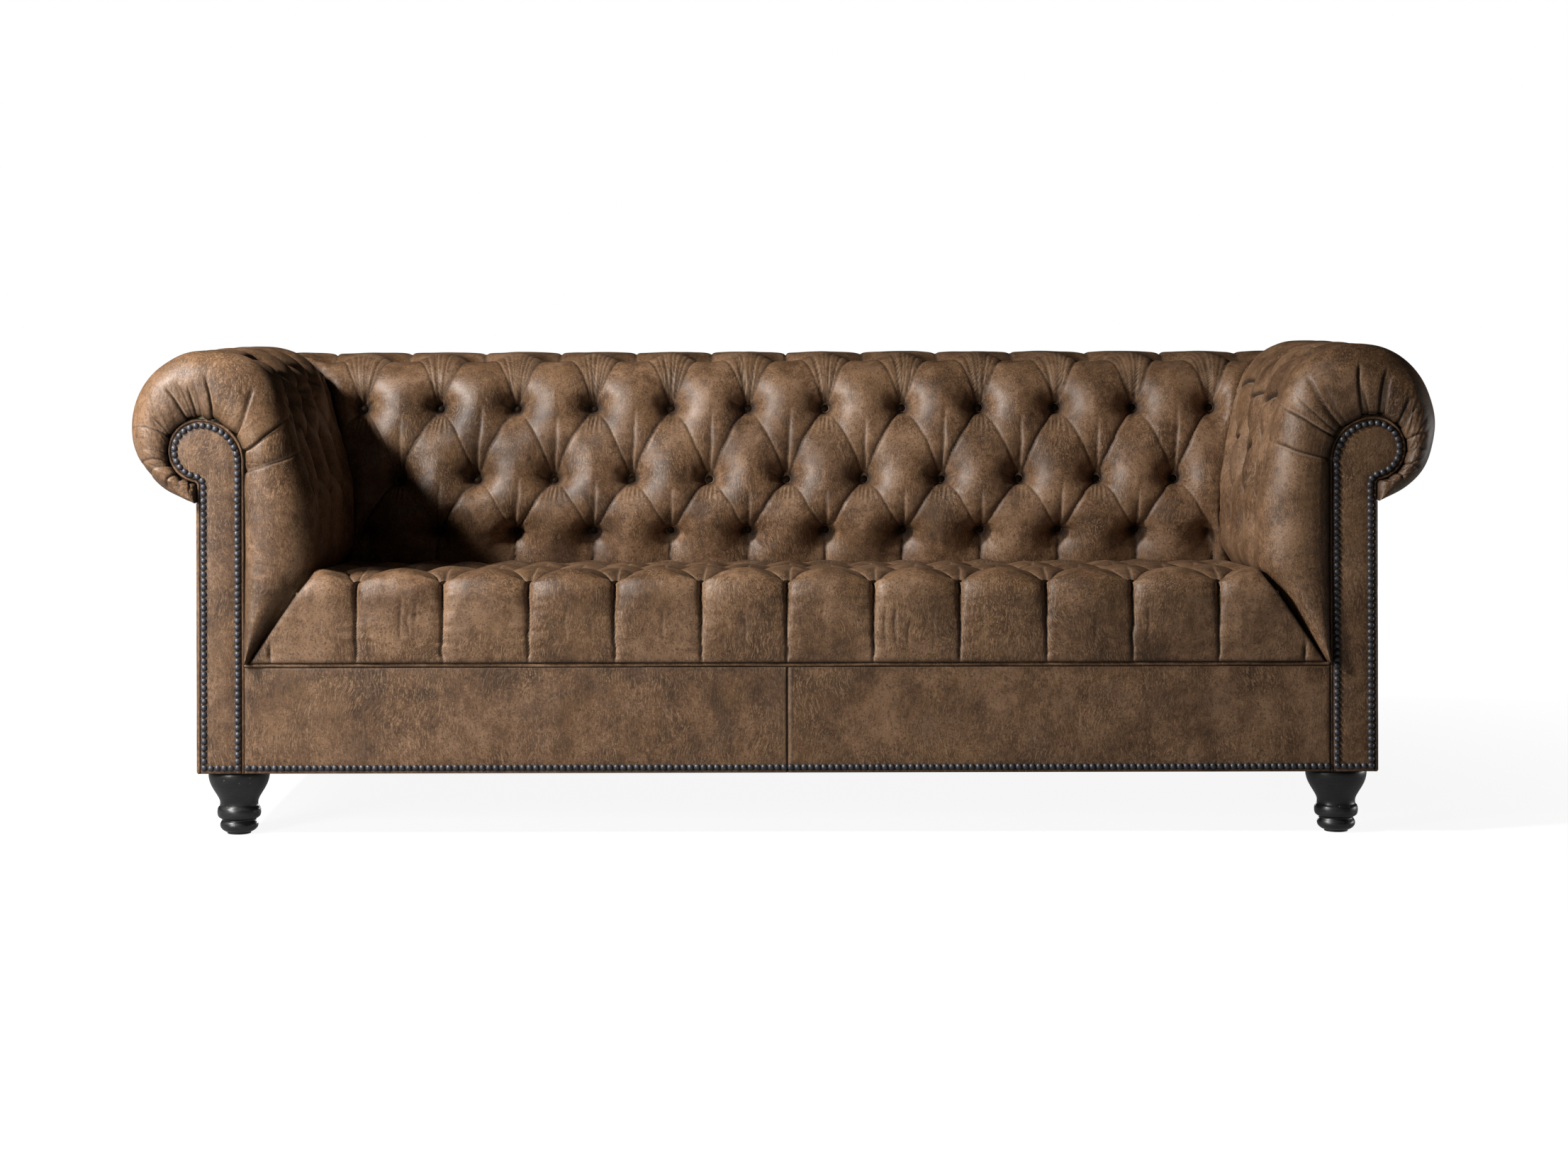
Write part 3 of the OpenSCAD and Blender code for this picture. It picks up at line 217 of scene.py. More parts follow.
def make_object(name, verts, faces, smooth_shade=True, **attributes):
    mesh = bpy.data.meshes.new(name)
    mesh.from_pydata((np.asarray(verts) * MM).tolist(), [], faces)
    for key, values in attributes.items():
        layer = mesh.attributes.new(key, "FLOAT", "POINT")
        layer.data.foreach_set("value", np.asarray(values, dtype=np.float32).ravel())
    if smooth_shade:
        mesh.polygons.foreach_set("use_smooth", [True] * len(mesh.polygons))
    mesh.update()
    obj = bpy.data.objects.new(name, mesh)
    bpy.context.scene.collection.objects.link(obj)
    return obj


def grid_faces(rows, cols, flip):
    i, j = np.meshgrid(np.arange(rows - 1), np.arange(cols - 1), indexing="ij")
    a = (i * cols + j).ravel()
    quads = np.stack([a, a + 1, a + cols + 1, a + cols], 1)
    return (quads[:, ::-1] if flip else quads).tolist()


def ring_faces(rings, count, start=0):
    """Faces between closed rings of points that follow each other."""
    faces = []
    for i in range(rings - 1):
        a, b = start + i * count, start + (i + 1) * count
        for j in range(count):
            n = (j + 1) % count
            faces.append([a + j, a + n, b + n, b + j])
    return faces


def dome_faces(start, rings, count):
    """Faces of a dome: its top point comes first, then its rings, of which the last is closed below."""
    faces = [[start, start + 1 + j, start + 1 + (j + 1) % count] for j in range(count)]
    faces += [f[::-1] for f in ring_faces(rings, count, start + 1)]
    last = start + 1 + (rings - 1) * count
    return faces + [[last + j for j in range(count)][::-1]]


def closed_sheet(name, outer, near, far, flip, crease, wear):
    """A grid of outer points, rows by columns, closed by core points behind its first and last row."""
    rows, cols = outer.shape[:2]
    verts = np.concatenate([outer.reshape(-1, 3), near, far])
    n, f, last = rows * cols, rows * cols + cols, (rows - 1) * cols
    extra = []
    for j in range(cols - 1):
        extra.append([n + j, n + j + 1, j + 1, j])
        extra.append([last + j, last + j + 1, f + j + 1, f + j])
        extra.append([f + j, f + j + 1, n + j + 1, n + j])
    extra.append([i * cols for i in range(rows)] + [f, n])
    extra.append(([i * cols + cols - 1 for i in range(rows)] + [f + cols - 1, n + cols - 1])[::-1])
    faces = grid_faces(rows, cols, flip) + [e[::-1] if flip else e for e in extra]
    pad = np.zeros(2 * cols)
    marks = {"crease": np.append(crease, pad), "wear": np.append(wear, pad)}
    obj = make_object(name, verts, faces, **marks)
    obj.data.validate()
    return obj


# Relief of the leather

SEAM = 12.0
SEAM_REACH = 13.0
LINE_PITCH = 125.0
WELL = (18.0, 41.0)

# Kinds of folds: widths on the two sides, the painted shade line's strength and width, and the pale line's
# strength, place across the fold and width; the pale line is partly wear and partly painted highlight
DEEP_LINE = {"widths": (4.5, 1.8), "dark": (0.95, 1.7), "pale": (0.25, -4.0, 2.0)}
STANDING_FOLD = {"widths": (9.0, 3.6), "dark": (0.9, 1.9), "pale": (0.6, 3.0, 1.6)}
FAN_PLEAT = {"widths": (1.6, 3.4), "dark": (0.95, 1.2), "pale": (0.8, 2.2, 1.1)}
NOTCH_FOLD = {"widths": (2.2, 3.6), "dark": (0.8, 1.5)}
WRINKLE = {"widths": (2.2, 5.0), "dark": (0.6, 1.3), "pale": (0.4, 2.6, 1.4)}
CHANNEL = {"widths": (2.2, 4.0), "dark": (0.98, 1.3), "pale": (0.75, 2.3, 1.1)}


def groove(q, left, right):
    """A sharp line along q = 0 that fades out on both sides."""
    return np.exp(-np.abs(q) / np.where(q < 0, left, right))


class Relief:
    """How far the leather lies below its full outline, its painted shade in creases and gaps, and its pale
    lips, partly wear and partly painted highlight.
    """

    def __init__(self):
        self.depth = self.crease = self.wear = 0.0

    def sink(self, amount):
        self.depth = self.depth + amount

    # Painted shade: darker where shade falls in creases, wells, seams and gaps
    def darken(self, amount):
        self.crease = np.maximum(self.crease, amount)

    # Pale lips and crests: partly wear, partly painted highlight
    def rub(self, amount):
        self.wear = np.maximum(self.wear, amount)

    def fold(self, q, share, depth, widths, dark=None, pale=None):
        """A fold along q = 0. A share fades it; widths, dark and pale are as in the kinds of folds."""
        self.sink(depth * share * groove(q, *widths))
        if dark:
            self.darken(dark[0] * share * np.exp(-np.abs(q) / dark[1]))
        if pale:
            self.rub(pale[0] * share * bell(q - pale[1], pale[2]))

    def scale(self, depth, crease, wear):
        self.depth, self.crease, self.wear = self.depth * depth, self.crease * crease, self.wear * wear

    def turn_into(self, other, share):
        """Give way to another relief by its share."""
        self.depth = mix(self.depth, other.depth, share)
        self.crease, self.wear = mix(self.crease, other.crease, share), mix(self.wear, other.wear, share)

    def add(self, other):
        """Lay another relief's folds into this one."""
        self.sink(other.depth)
        self.darken(other.crease)
        self.rub(other.wear)

    def sew(self, s, edge, seam, pucker, reach, seed):
        """Draw the leather in towards a sewn end, with small puckers."""
        self.sink(seam * np.exp(-edge / SEAM_REACH))
        self.sink(pucker * np.exp(-edge / reach) * smooth(edge / 6) * noise(s / 9, edge / 60, seed))
        # Painted shade in the seam's gap
        self.darken(0.9 * np.exp(-edge / 3.5))


class Tufting:
    """Rows of buttons by length along an outline; every second row is shifted by half a spacing."""

    def __init__(self, first, pitch, top, shift, origin, depth, seed):
        self.first, self.pitch, self.top = first, pitch, top
        self.shift, self.origin, self.depth, self.seed = shift, origin, depth, seed
        self.rows = [first + pitch * m for m in range(top + 1)]

    def lattice(self, s, x):
        """Coordinates along both diagonals, whole at the buttons, and along the row."""
        m = np.clip((s - self.first) / self.pitch, 0, self.top)
        t = (x - self.origin) / SPACING + self.shift
        return t + m / 2, t - m / 2, t

    def nearest(self, s, x):
        """Offsets to the nearest button, and its numbers."""
        a, b, t = self.lattice(s, x)
        best = None
        for i in (0, -1, 1):
            for j in (0, -1, 1):
                ra, rb = np.round(a) + i, np.round(b) + j
                dx = (t - (ra + rb) / 2) * SPACING
                ds = s - self.first - (ra - rb) * self.pitch
                r = np.hypot(dx, ds) + 1e6 * ((ra < rb) | (ra - rb > self.top))
                if best is None:
                    best = [r, dx, ds, ra, rb]
                else:
                    closer = r < best[0]
                    best = [np.where(closer, new, old) for new, old in zip((r, dx, ds, ra, rb), best)]
        return best[1:]

    def cell(self, s, x):
        """Offsets from the buttons below and above in this diamond, with its lower row and its numbers."""
        a, b, t = self.lattice(s, x)
        i, j = np.floor(a), np.floor(b)
        low = i - j - 1
        h = (t - (i + j + 1) / 2) * SPACING
        return h, s - self.first - low * self.pitch, s - self.first - (low + 2) * self.pitch, low, i, j


def ridge(q):
    """A round pad between two sharp lines."""
    return (np.abs(np.sin(np.pi * q)) + 1e-6) ** 0.6


def hump(q):
    return np.sin(np.pi * (q - np.floor(q)))


def tufted_relief(tufts, s, x, slash, backslash, fold, bundle, swell, pinch=0.75):
    """Buttoned leather: pads and wells, the two lines of each diamond, folds, pleats and gathers.
    The first four numbers are the depths of the two lines, the standing folds and the fans."""
    out, seed = Relief(), tufts.seed
    a, b, _ = tufts.lattice(s, x)
    dx, ds, ra, rb = tufts.nearest(s, x)
    r, turn = np.hypot(dx, ds), np.arctan2(ds, dx)
    chance, chance2 = cell_random(ra, rb, seed + 2), cell_random(ra, rb, seed + 3)

    # Pads between bowed lines, lower on the roll, and wells round the buttons, with painted shade in the
    # wells
    wander = uneven(x, s, seed, 1.6, (34, 34), 0.8, (13, 13))
    risen = smooth((s - tufts.first) / 20)
    high = smooth(((s - tufts.first) / tufts.pitch - tufts.top + 1.2) / 0.4)
    starts = smooth((b - np.floor(b) - 0.06) / 0.2) if backslash < 4.5 else 1.0
    bend, bow = 3.5 * hump(a) * risen, 5.0 * hump(b) * risen
    a, b = a + (wander - bow) / LINE_PITCH, b + (wander + bend) / LINE_PITCH
    pad = mix(1.0, ridge(a), pinch) * ridge(b)
    out.sink(swell * (1.0 - pad) * (1.0 - 0.5 * high * (bundle > 0)))
    out.sink((tufts.depth - swell) * 0.5 * (np.exp(-(r / WELL[0]) ** 1.8) + bell(r, WELL[1])))
    out.darken(np.exp(-(r / 16.0) ** 4))

    # The line that falls to the left is the deeper one; the other starts below its upper button
    lines = smooth((r - 7) / 14)
    q = (b - np.round(b)) * LINE_PITCH
    out.fold(q, lines, slash, **DEEP_LINE)
    q = (a - np.round(a)) * LINE_PITCH
    # The shallow line gets a pale lip, partly wear and partly painted highlight, and a painted shade line
    # beside it
    out.fold(q, lines * starts, backslash, (1.6, 4.5), pale=(0.16 * backslash, 1.9, 1.2))
    out.darken(0.55 * lines * starts * np.exp(-np.abs(q + 0.8) / 1.3))

    # A fold stands above each button of the lower rows
    h, up, down, low, ci, cj = tufts.cell(s, x)
    pick = cell_random(ci, cj, seed + 5)
    q = h - (0.02 + 0.05 * pick) * up + 1.5 * noise(up / 30, ci + 0.5 * cj, seed + 6)
    stand = np.clip(1.0 - up / (tufts.pitch * (0.75 + 0.25 * pick)), 0, 1) ** 0.6 * smooth((up + 2) / 12)
    stand = stand * ((low >= 0) & (low < tufts.top - 1))
    out.fold(q, stand, fold, **STANDING_FOLD)
    # Painted shade on the left side of the standing fold, where the pad turns from the light
    out.darken(0.3 * stand * np.exp(-np.abs(q) / 12.0) * (q < 0))

    # Fine pleats fan out above the highest full row, over the roll
    fan = np.clip(1.0 - up / (1.35 * tufts.pitch), 0, 1) ** 0.8 * smooth(up / 14)
    fan = fan * (low == tufts.top - 1)
    for k in range(-3, 4):
        angle = 0.085 * k + 0.05 * (cell_random(ci, cj, seed + 20 + k) - 0.5)
        q = h - angle * (up + 10) + 0.8 * noise(up / 25, ci + k * 3.1, seed + 8)
        size = 0.3 + 0.8 * cell_random(ci, cj, seed + 30 + k)
        out.fold(q, size * fan, bundle, **FAN_PLEAT)

    # A short fold hangs below each of the crest's notches, and gathers below some other buttons
    drop = -down
    short = (low == tufts.top - 2) * smooth((46 - drop) / 24) * smooth(drop / 6) * (bundle > 0)
    q = h + 1.5 * noise(drop / 18, ci + 0.3 * cj, seed + 14)
    out.fold(q, short, 5.0, **NOTCH_FOLD)
    some = cell_random(ci + 1, cj, seed + 9)
    hang = (drop > 0) * smooth((drop - 14) / 14) * smooth((66 - drop) / 34) * smooth((some - 0.25) / 0.4)
    drop = np.maximum(drop, 0)
    hang = hang * bell(h, 8 + 0.35 * drop) * (low + 2 < tufts.top)
    ripple = np.cos(2 * np.pi * h / (7.0 + 0.05 * drop) + 4 * noise(h / 15, -down / 60, seed + 10))
    out.sink(1.3 * hang * (1 + ripple))
    # Pale crests, partly wear and partly painted highlight, and painted shade in the troughs of the gathers
    out.rub(0.7 * hang * np.clip(-ripple, 0, 1) ** 2)
    out.darken(0.4 * hang * np.clip(ripple, 0, 1) ** 2)

    # Short wrinkles run out beside a button
    for side, look in ((1.0, chance), (-1.0, chance2)):
        away = side * dx
        tick = smooth((away - 9) / 8) * smooth((16 + 30 * look - away) / 22)
        q = ds - (look - 0.4) * 0.5 * (away - 9) + 1.2 * noise(away / 12, ra + 7 * rb, seed + 11)
        out.fold(q, tick, 2.8, **WRINKLE)
    out.sink(0.9 * bell(r - 22, 11) * np.sin((5 + np.round(3 * chance)) * turn + 9 * chance2))
    out.sink(uneven(x, s, seed + 12, 1.1, (61, 61), 0.5, (23, 19)))
    out.crease, out.wear = np.clip(out.crease, 0, 1), np.clip(out.wear, 0, 1)
    return out


def loose_folds(s, x, rows):
    """Single creases, each (s, x, length, angle in degrees, depth, width)."""
    out = Relief()
    for fs, fx, length, angle, depth, width in rows:
        c, n = math.cos(math.radians(angle)), math.sin(math.radians(angle))
        along = (s - fs) * c + (x - fx) * n
        across = -(s - fs) * n + (x - fx) * c + 2.0 * noise(along / 26, fs + fx, 3)
        share = smooth((length / 2 - np.abs(along)) / (length * 0.35))
        # Each crease gets a painted shade line and a pale lip, partly wear and partly painted highlight
        out.fold(across, share, depth, (0.7 * width, 1.5 * width), dark=(0.16 * depth, 0.7 * width),
                 pale=(0.12 * depth, width, 0.6 * width))
    return out


def traced_folds(s, y, folds, side):
    """Folds that follow a line of places on the surface, each ([(s, y), ...], depth, width)."""
    out = Relief()
    for line, depth, width in folds:
        line = resample(line, 12.0)
        near, across, along = np.full_like(s, 1e9), np.zeros_like(s), np.zeros_like(s)
        total = len(line) - 1
        for k in range(total):
            (s0, y0), (s1, y1) = line[k], line[k + 1]
            ls, ly = s1 - s0, y1 - y0
            t = np.clip(((s - s0) * ls + (y - y0) * ly) / (ls * ls + ly * ly), 0, 1)
            gap = np.hypot(s - s0 - t * ls, y - y0 - t * ly)
            turn = side * np.sign((s - s0) * ly - (y - y0) * ls)
            closer = gap < near
            near = np.where(closer, gap, near)
            across = np.where(closer, gap * turn, across)
            along = np.where(closer, (k + t) / total, along)
        share = smooth(along / 0.18) * smooth((1 - along) / 0.25) * smooth((60 - near) / 20)
        thin = max(2.4, 0.5 * width)
        # A painted shade line, a pale lip (partly wear, partly painted highlight) and a broad band of
        # painted shade along the fold
        out.fold(across, share, depth, (0.6 * width, 2.4 * width), dark=(min(1.0, 0.14 * depth), thin),
                 pale=(min(0.8, 0.1 * depth), 1.5 * width, thin))
        out.darken(0.05 * depth * share * np.exp(-near / (1.6 * width)))
    return out


def rising(path_s, fine_from, fine_to, fine, coarse):
    """Places along an outline, finer where they show most."""
    low = np.linspace(0, fine_from, max(2, int(fine_from / coarse) + 1))[:-1]
    mid = np.linspace(fine_from, fine_to, int((fine_to - fine_from) / fine) + 1)[:-1]
    high = np.linspace(fine_to, path_s, int((path_s - fine_to) / (2 * fine)) + 1)
    return np.concatenate([low, mid, high])


# Back

BACK_TUFTS = Tufting(first=174.0, pitch=136.0, top=3, shift=0.5, origin=0.0, depth=54.0, seed=11)
BACK_COLUMNS = 700
BACK_TOP = BACK_TUFTS.rows[-1]

# The rows' places on the photographed sofa, between the outline's two ends
BACK_SEEN = [0.0, 179.0, 301.0, 439.0, 611.0, BACK.length]


def build_back():
    s = rising(BACK.length, fine_from=110.0, fine_to=620.0, fine=2.6, coarse=11.0)[:, None]
    u, z, nu, nz = BACK.at(s)
    end = corner_x(u - SEAM * nu)
    x = np.linspace(-1, 1, BACK_COLUMNS)[None, :] * end
    edge = (end - np.abs(x)) * 0.8
    row = np.interp(s, BACK_SEEN, [0.0, *BACK_TUFTS.rows, BACK.length])
    out = tufted_relief(BACK_TUFTS, row, x, slash=5.0, backslash=2.2, fold=7.0, bundle=3.4, swell=6.0,
                        pinch=0.5)
    keep = smooth((s - 20) / 60) * (1 - smooth((s - BACK_TOP) / (BACK.length - BACK_TOP)))
    keep = keep * smooth((edge - 4) / 26)
    out.scale(keep, keep, keep)
    seam = SEAM * (1 - 0.2 * noise(s / 30, x / 40, 5))
    out.sew(s, edge, seam, pucker=1.4, reach=30.0, seed=77)
    points = np.stack([x, REAR_Y - (u - out.depth * nu), z - out.depth * nz], -1)
    cu, cz, _, _ = BACK_CORE.at(s[:, 0] * BACK_CORE.length / BACK.length)
    ends = [np.stack([side * (corner_x(cu) - GAP), REAR_Y - cu, cz], -1) for side in (-1, 1)]
    return closed_sheet("tufted_back", points.transpose(1, 0, 2), *ends, False, out.crease.T, out.wear.T)


# Arms

# The rows keep their distance from the roll's far seam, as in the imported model
ARM_FIRST = 254.0 + ARM.length - pad_outline(ARM_CIRCLES[:1] + ARM_CIRCLES[2:]).length
ARM_PITCH = 105.0
ARM_ORIGIN = corner_y(199.0) + 29.0
ARM_TUFTS = {
    side: Tufting(ARM_FIRST, ARM_PITCH, top=3, shift=0.0, origin=ARM_ORIGIN, depth=46.0, seed=seed)
    for side, seed in ((-1, 31), (1, 57))
}
BORDER_ROWS = 64
SIDE_ROWS = 262
ARM_CREST = ARM.s[np.argmax(ARM.p[:, 1])]
LIP_PIECES = facing_pieces(-PIPING - GAP, FOOT_Z, ARM.at(ARM.length)[1])
LIP = Outline(LIP_PIECES)


def lip_place(s):
    """Places on the facing's lip from which the leather runs to places on the arm's outline."""
    q = np.concatenate([[0], np.cumsum([Outline([p]).length for p in LIP_PIECES])])
    return np.interp(s, [0, ARM_FIRST + ARM_PITCH, ARM_CREST, ARM_CREST + math.pi * ROLL / 2, ARM.length],
                     [0, q[1], q[2], mix(q[2], q[3], 0.6), LIP.length])


def arm_rise(side, y, z):
    """The right roll stands a little higher than the left, and both fall towards the back."""
    fall = 18.0 * smooth(1 + (y - corner_y(18.0)) / 260.0)
    lift = 8.0 if side < 0 else 15.0
    return (lift - fall) * smooth((z - 608.0) / 210.0)


def arm_lean(y, z):
    """Both rolls lie a little to the left of their facings."""
    return 6.0 * smooth((z - 560.0) / 140.0) * smooth((corner_y(18.0) - y) / 200.0)


# Pleats of the borders, from the piping to their ends, in x and z, each with its depth
PLEATS = {-1: [
    ((-1014.9, 708.5), (-1044.6, 760.5), 5.0), ((-1005.6, 711.5), (-1023.6, 768.5), 4.0),
    ((-998.6, 711.5), (-1007.6, 763.5), 3.5), ((-990.6, 711.5), (-995.6, 768.5), 3.0),
    ((-973.2, 708.5), (-975.6, 776.5), 6.0), ((-933.0, 681.5), (-894.4, 757.5), 6.5),
    ((-919.6, 656.5), (-839.3, 708.5), 6.5), ((-913.6, 619.5), (-817.0, 651.5), 5.5),
    ((-1047.6, 681.5), (-1098.2, 695.5), 4.0), ((-1043.6, 683.5), (-1069.6, 713.0), 3.5),
    ((-1049.0, 628.5), (-1081.6, 609.0), 5.0), ((-1033.6, 617.5), (-1047.6, 594.5), 3.0),
    ((-1019.4, 616.5), (-1025.2, 583.5), 5.0), ((-1009.6, 611.5), (-1009.6, 586.5), 4.0),
    ((-1049.6, 651.5), (-1101.6, 651.5), 1.8), ((-1048.6, 639.5), (-1095.6, 629.5), 1.8),
], 1: [
    ((936.4, 695.5), (889.9, 763.5), 6.5), ((920.4, 679.5), (840.4, 721.5), 6.0),
    ((914.4, 641.5), (819.4, 668.5), 5.0), ((972.4, 715.5), (974.4, 787.5), 5.0),
    ((984.4, 714.5), (978.4, 756.5), 3.5), ((1000.4, 713.5), (1019.4, 776.5), 5.5),
    ((1008.4, 711.5), (1030.4, 771.5), 4.5), ((1034.4, 701.5), (1059.4, 733.5), 5.0),
    ((1041.4, 691.5), (1076.4, 721.5), 4.0), ((1046.4, 671.5), (1086.4, 676.5), 3.0),
    ((1046.4, 651.5), (1086.4, 651.5), 2.2), ((1042.4, 631.5), (1071.4, 621.5), 4.0),
    ((1031.4, 616.5), (1041.4, 601.5), 3.5), ((1016.4, 611.5), (1021.4, 589.5), 3.0),
    ((944.4, 701.5), (911.4, 756.5), 1.8), ((926.4, 687.5), (866.4, 736.5), 1.8),
]}


def pleat_lines(pleats):
    """Places on the arm's outline where each pleat starts and ends, with its reach over the border."""
    s = np.linspace(0, ARM.length, 1500)
    lu, lz, _, _ = LIP.at(lip_place(s))
    au, az, _, _ = ARM.at(s)
    out = []
    for (near_x, near_z), (far_x, far_z), depth in pleats:
        start = s[np.argmin(np.hypot(lu - SIDE_X + abs(near_x), lz - near_z))]
        best = None
        for w in np.linspace(0.2, 1.0, 33):
            gap = np.hypot(mix(lu, au, w) - SIDE_X + abs(far_x), mix(lz, az, w) - far_z)
            k = np.argmin(gap)
            if best is None or gap[k] < best[0] - 0.05:
                best = (gap[k], w, s[k])
        out.append((start, best[2], best[1], depth))
    return out


BORDER_DEPTH = 58.0
# The border's edge at the piping: share of the way out to the roll and distance behind the front
BORDER_EDGE = [(0.0, 25.0), (0.02, 15.0), (0.07, 8.0), (0.16, 3.5), (0.27, 0.8)]
BORDER_FLAT = 0.38


def border_rows(count):
    """The border's section from the piping out to the roll: share of the way, distance behind the front."""
    angle = np.linspace(0, math.pi / 2, 60)
    edge_share, edge_off = zip(*BORDER_EDGE)
    share = np.concatenate([edge_share, BORDER_FLAT + (1 - BORDER_FLAT) * np.sin(angle)])
    off = np.concatenate([edge_off, BORDER_DEPTH * (1 - np.cos(angle))])
    length = np.concatenate([[0], np.cumsum(np.hypot(np.diff(share * 90), np.diff(off)))])
    even = np.linspace(0, length[-1], count)
    return np.interp(even, length, share), np.interp(even, length, off)


# Folds of the arms' inner sides as places (along the outline, y), each with its depth and width
FOLDS = {-1: [
    ([(624, -195), (612, -108), (593, -74), (564, -73), (544, -58), (517, -26), (494, 38),
      (479, 96)], 10.0, 5.5),
    ([(597, -417), (589, -389), (587, -326), (570, -270), (538, -260), (512, -224), (487, -155), (461, -100),
      (448, -76)], 13.0, 6.5),
    ([(562, -417), (552, -402), (528, -374), (503, -341), (479, -278), (459, -212), (442, -182)], 12.0, 6.0),
    ([(492, -417), (481, -412), (469, -369), (444, -297), (421, -251), (398, -206)], 7.0, 5.0),
    ([(500, -194), (494, -142), (489, -86), (479, -62), (468, -32)], 12.0, 5.5),
    ([(488, -314), (476, -278), (463, -233)], 5.0, 3.0), ([(472, -143), (460, -110), (448, -76)], 5.0, 3.0),
    ([(457, -317), (452, -306), (445, -294)], 5.0, 2.6), ([(419, -11), (411, 10), (404, 31)], 5.0, 2.6),
    ([(394, -168), (387, -144), (373, -110), (362, -109), (352, -120)], 10.0, 4.5),
    ([(374, -262), (369, -270), (348, -278)], 6.0, 2.6),
    ([(352, -402), (338, -400), (323, -405), (312, -413)], 6.0, 2.6),
    ([(305, -414), (294, -410), (280, -408)], 3.0, 2.6),
], 1: [
    ([(464, 114), (472, 98), (488, 50), (495, 19), (502, -56)], 7.0, 2.6),
    ([(461, -73), (470, -103), (485, -178), (492, -222)], 6.0, 2.6),
    ([(459, -222), (466, -242), (480, -284), (487, -339), (488, -372)], 9.0, 3.0),
    ([(354, 17), (370, 31), (388, 11), (403, -52)], 7.0, 2.6),
    ([(354, -143), (374, -146), (387, -172), (398, -197)], 8.0, 3.0),
    ([(333, -282), (346, -278), (354, -299), (362, -320)], 7.0, 2.6),
    ([(328, -372), (337, -368), (345, -363), (355, -384), (366, -412)], 9.0, 3.2),
    ([(580, -180), (594, -194), (602, -191), (604, -278)], 3.0, 2.4),
    ([(548, -280), (561, -291), (572, -309), (577, -360), (577, -412)], 4.0, 2.6),
    ([(540, -380), (552, -396), (560, -414)], 4.0, 2.6),
]}
# How strong depth, painted crease shade and pale lips (partly wear, partly painted highlight) of these folds
# are on each side
FOLD_STRENGTHS = {-1: (0.8, 1.0, 0.35), 1: (1.43, 1.3, 1.2)}


def border_relief(s, w, width, pace, lines, seed):
    """Pleats that fan out from the piping, small gathers between them and the seam at the piping."""
    out = Relief()
    for k, (start, end, reach, depth) in enumerate(lines):
        centre = start + (end - start) * w / reach + 1.2 * noise(w * 5, k * 3.7, seed)
        q = (s - centre) * pace * (1 if k % 2 else -1)
        share = smooth((reach + 0.05 - w) / 0.22) * smooth((w + 0.12) / 0.12)
        # Each pleat gets a painted shade line and a pale lip, partly wear and partly painted highlight
        out.fold(q, share, depth, (1.4, 6.5), dark=(min(1.0, 0.26 * depth), 1.3),
                 pale=(min(0.7, 0.13 * depth), 2.6, 1.3))
    small = noise(s / 7.0, w * 1.6, seed + 2) * smooth(w / 0.1) * smooth((0.85 - w) / 0.5)
    zone = 0.2 + 0.5 * smooth((s - ARM_CREST - 60) / 80)
    out.sink((1.5 * small * zone + noise(s / 40, w * 3, seed + 3)) * smooth(width / 30))
    # Pale crests of the small gathers, partly wear and partly painted highlight, and painted shade at the
    # piping's seam
    out.rub(0.3 * np.clip(-small, 0, 1) * zone)
    out.darken(0.9 * np.exp(-w * np.maximum(width, 12) / 3.5) * (w < 0.2))
    return out


def side_relief(s, y, run, edge, seam, lines, side):
    """An arm's tufted side by its distances from the border and from the corner."""
    tufts = ARM_TUFTS[side]
    seed, top = tufts.seed, tufts.rows[-1]
    out = tufted_relief(tufts, s, y, slash=3.0, backslash=2.0, fold=3.0, bundle=0.0, swell=14.0)
    keep = 1 - smooth((s - top) / (ARM.length - top))
    keep = keep * smooth((s - ARM_FIRST + ARM_PITCH) / ARM_PITCH)
    keep = keep * smooth((run - 10) / 60) * smooth((edge - 3) / 22)
    calm = keep * mix(1.0, 0.45, smooth((s - ARM_FIRST - 130) / 90))
    out.scale(calm, 0.6 * calm, 0.35 * calm)
    out.sink((1 - keep) * uneven(y, s, seed + 4, 0.9, (55, 70), 0.4, (18, 22)))
    out.sew(s, edge, seam, pucker=1.3, reach=28.0, seed=seed + 6)
    # Pleats that reach the roll run on over it and fade
    for k, (_, end, reach, depth) in enumerate(lines):
        if reach >= 0.93:
            q = (s - end - 0.15 * run) * (1 if k % 2 else -1)
            # These pleats keep a painted shade line and a pale lip, partly wear and partly painted highlight
            out.fold(q, smooth((34 - run) / 34), 0.8 * depth, (2.4, 6.5), dark=(0.16 * depth, 1.8),
                     pale=(0.12 * depth, 3.0, 1.8))
    folds = traced_folds(s, y, FOLDS[side], side)
    folds.scale(*FOLD_STRENGTHS[side])
    out.add(folds)
    out.crease = np.minimum(out.crease, 1.0)
    return out


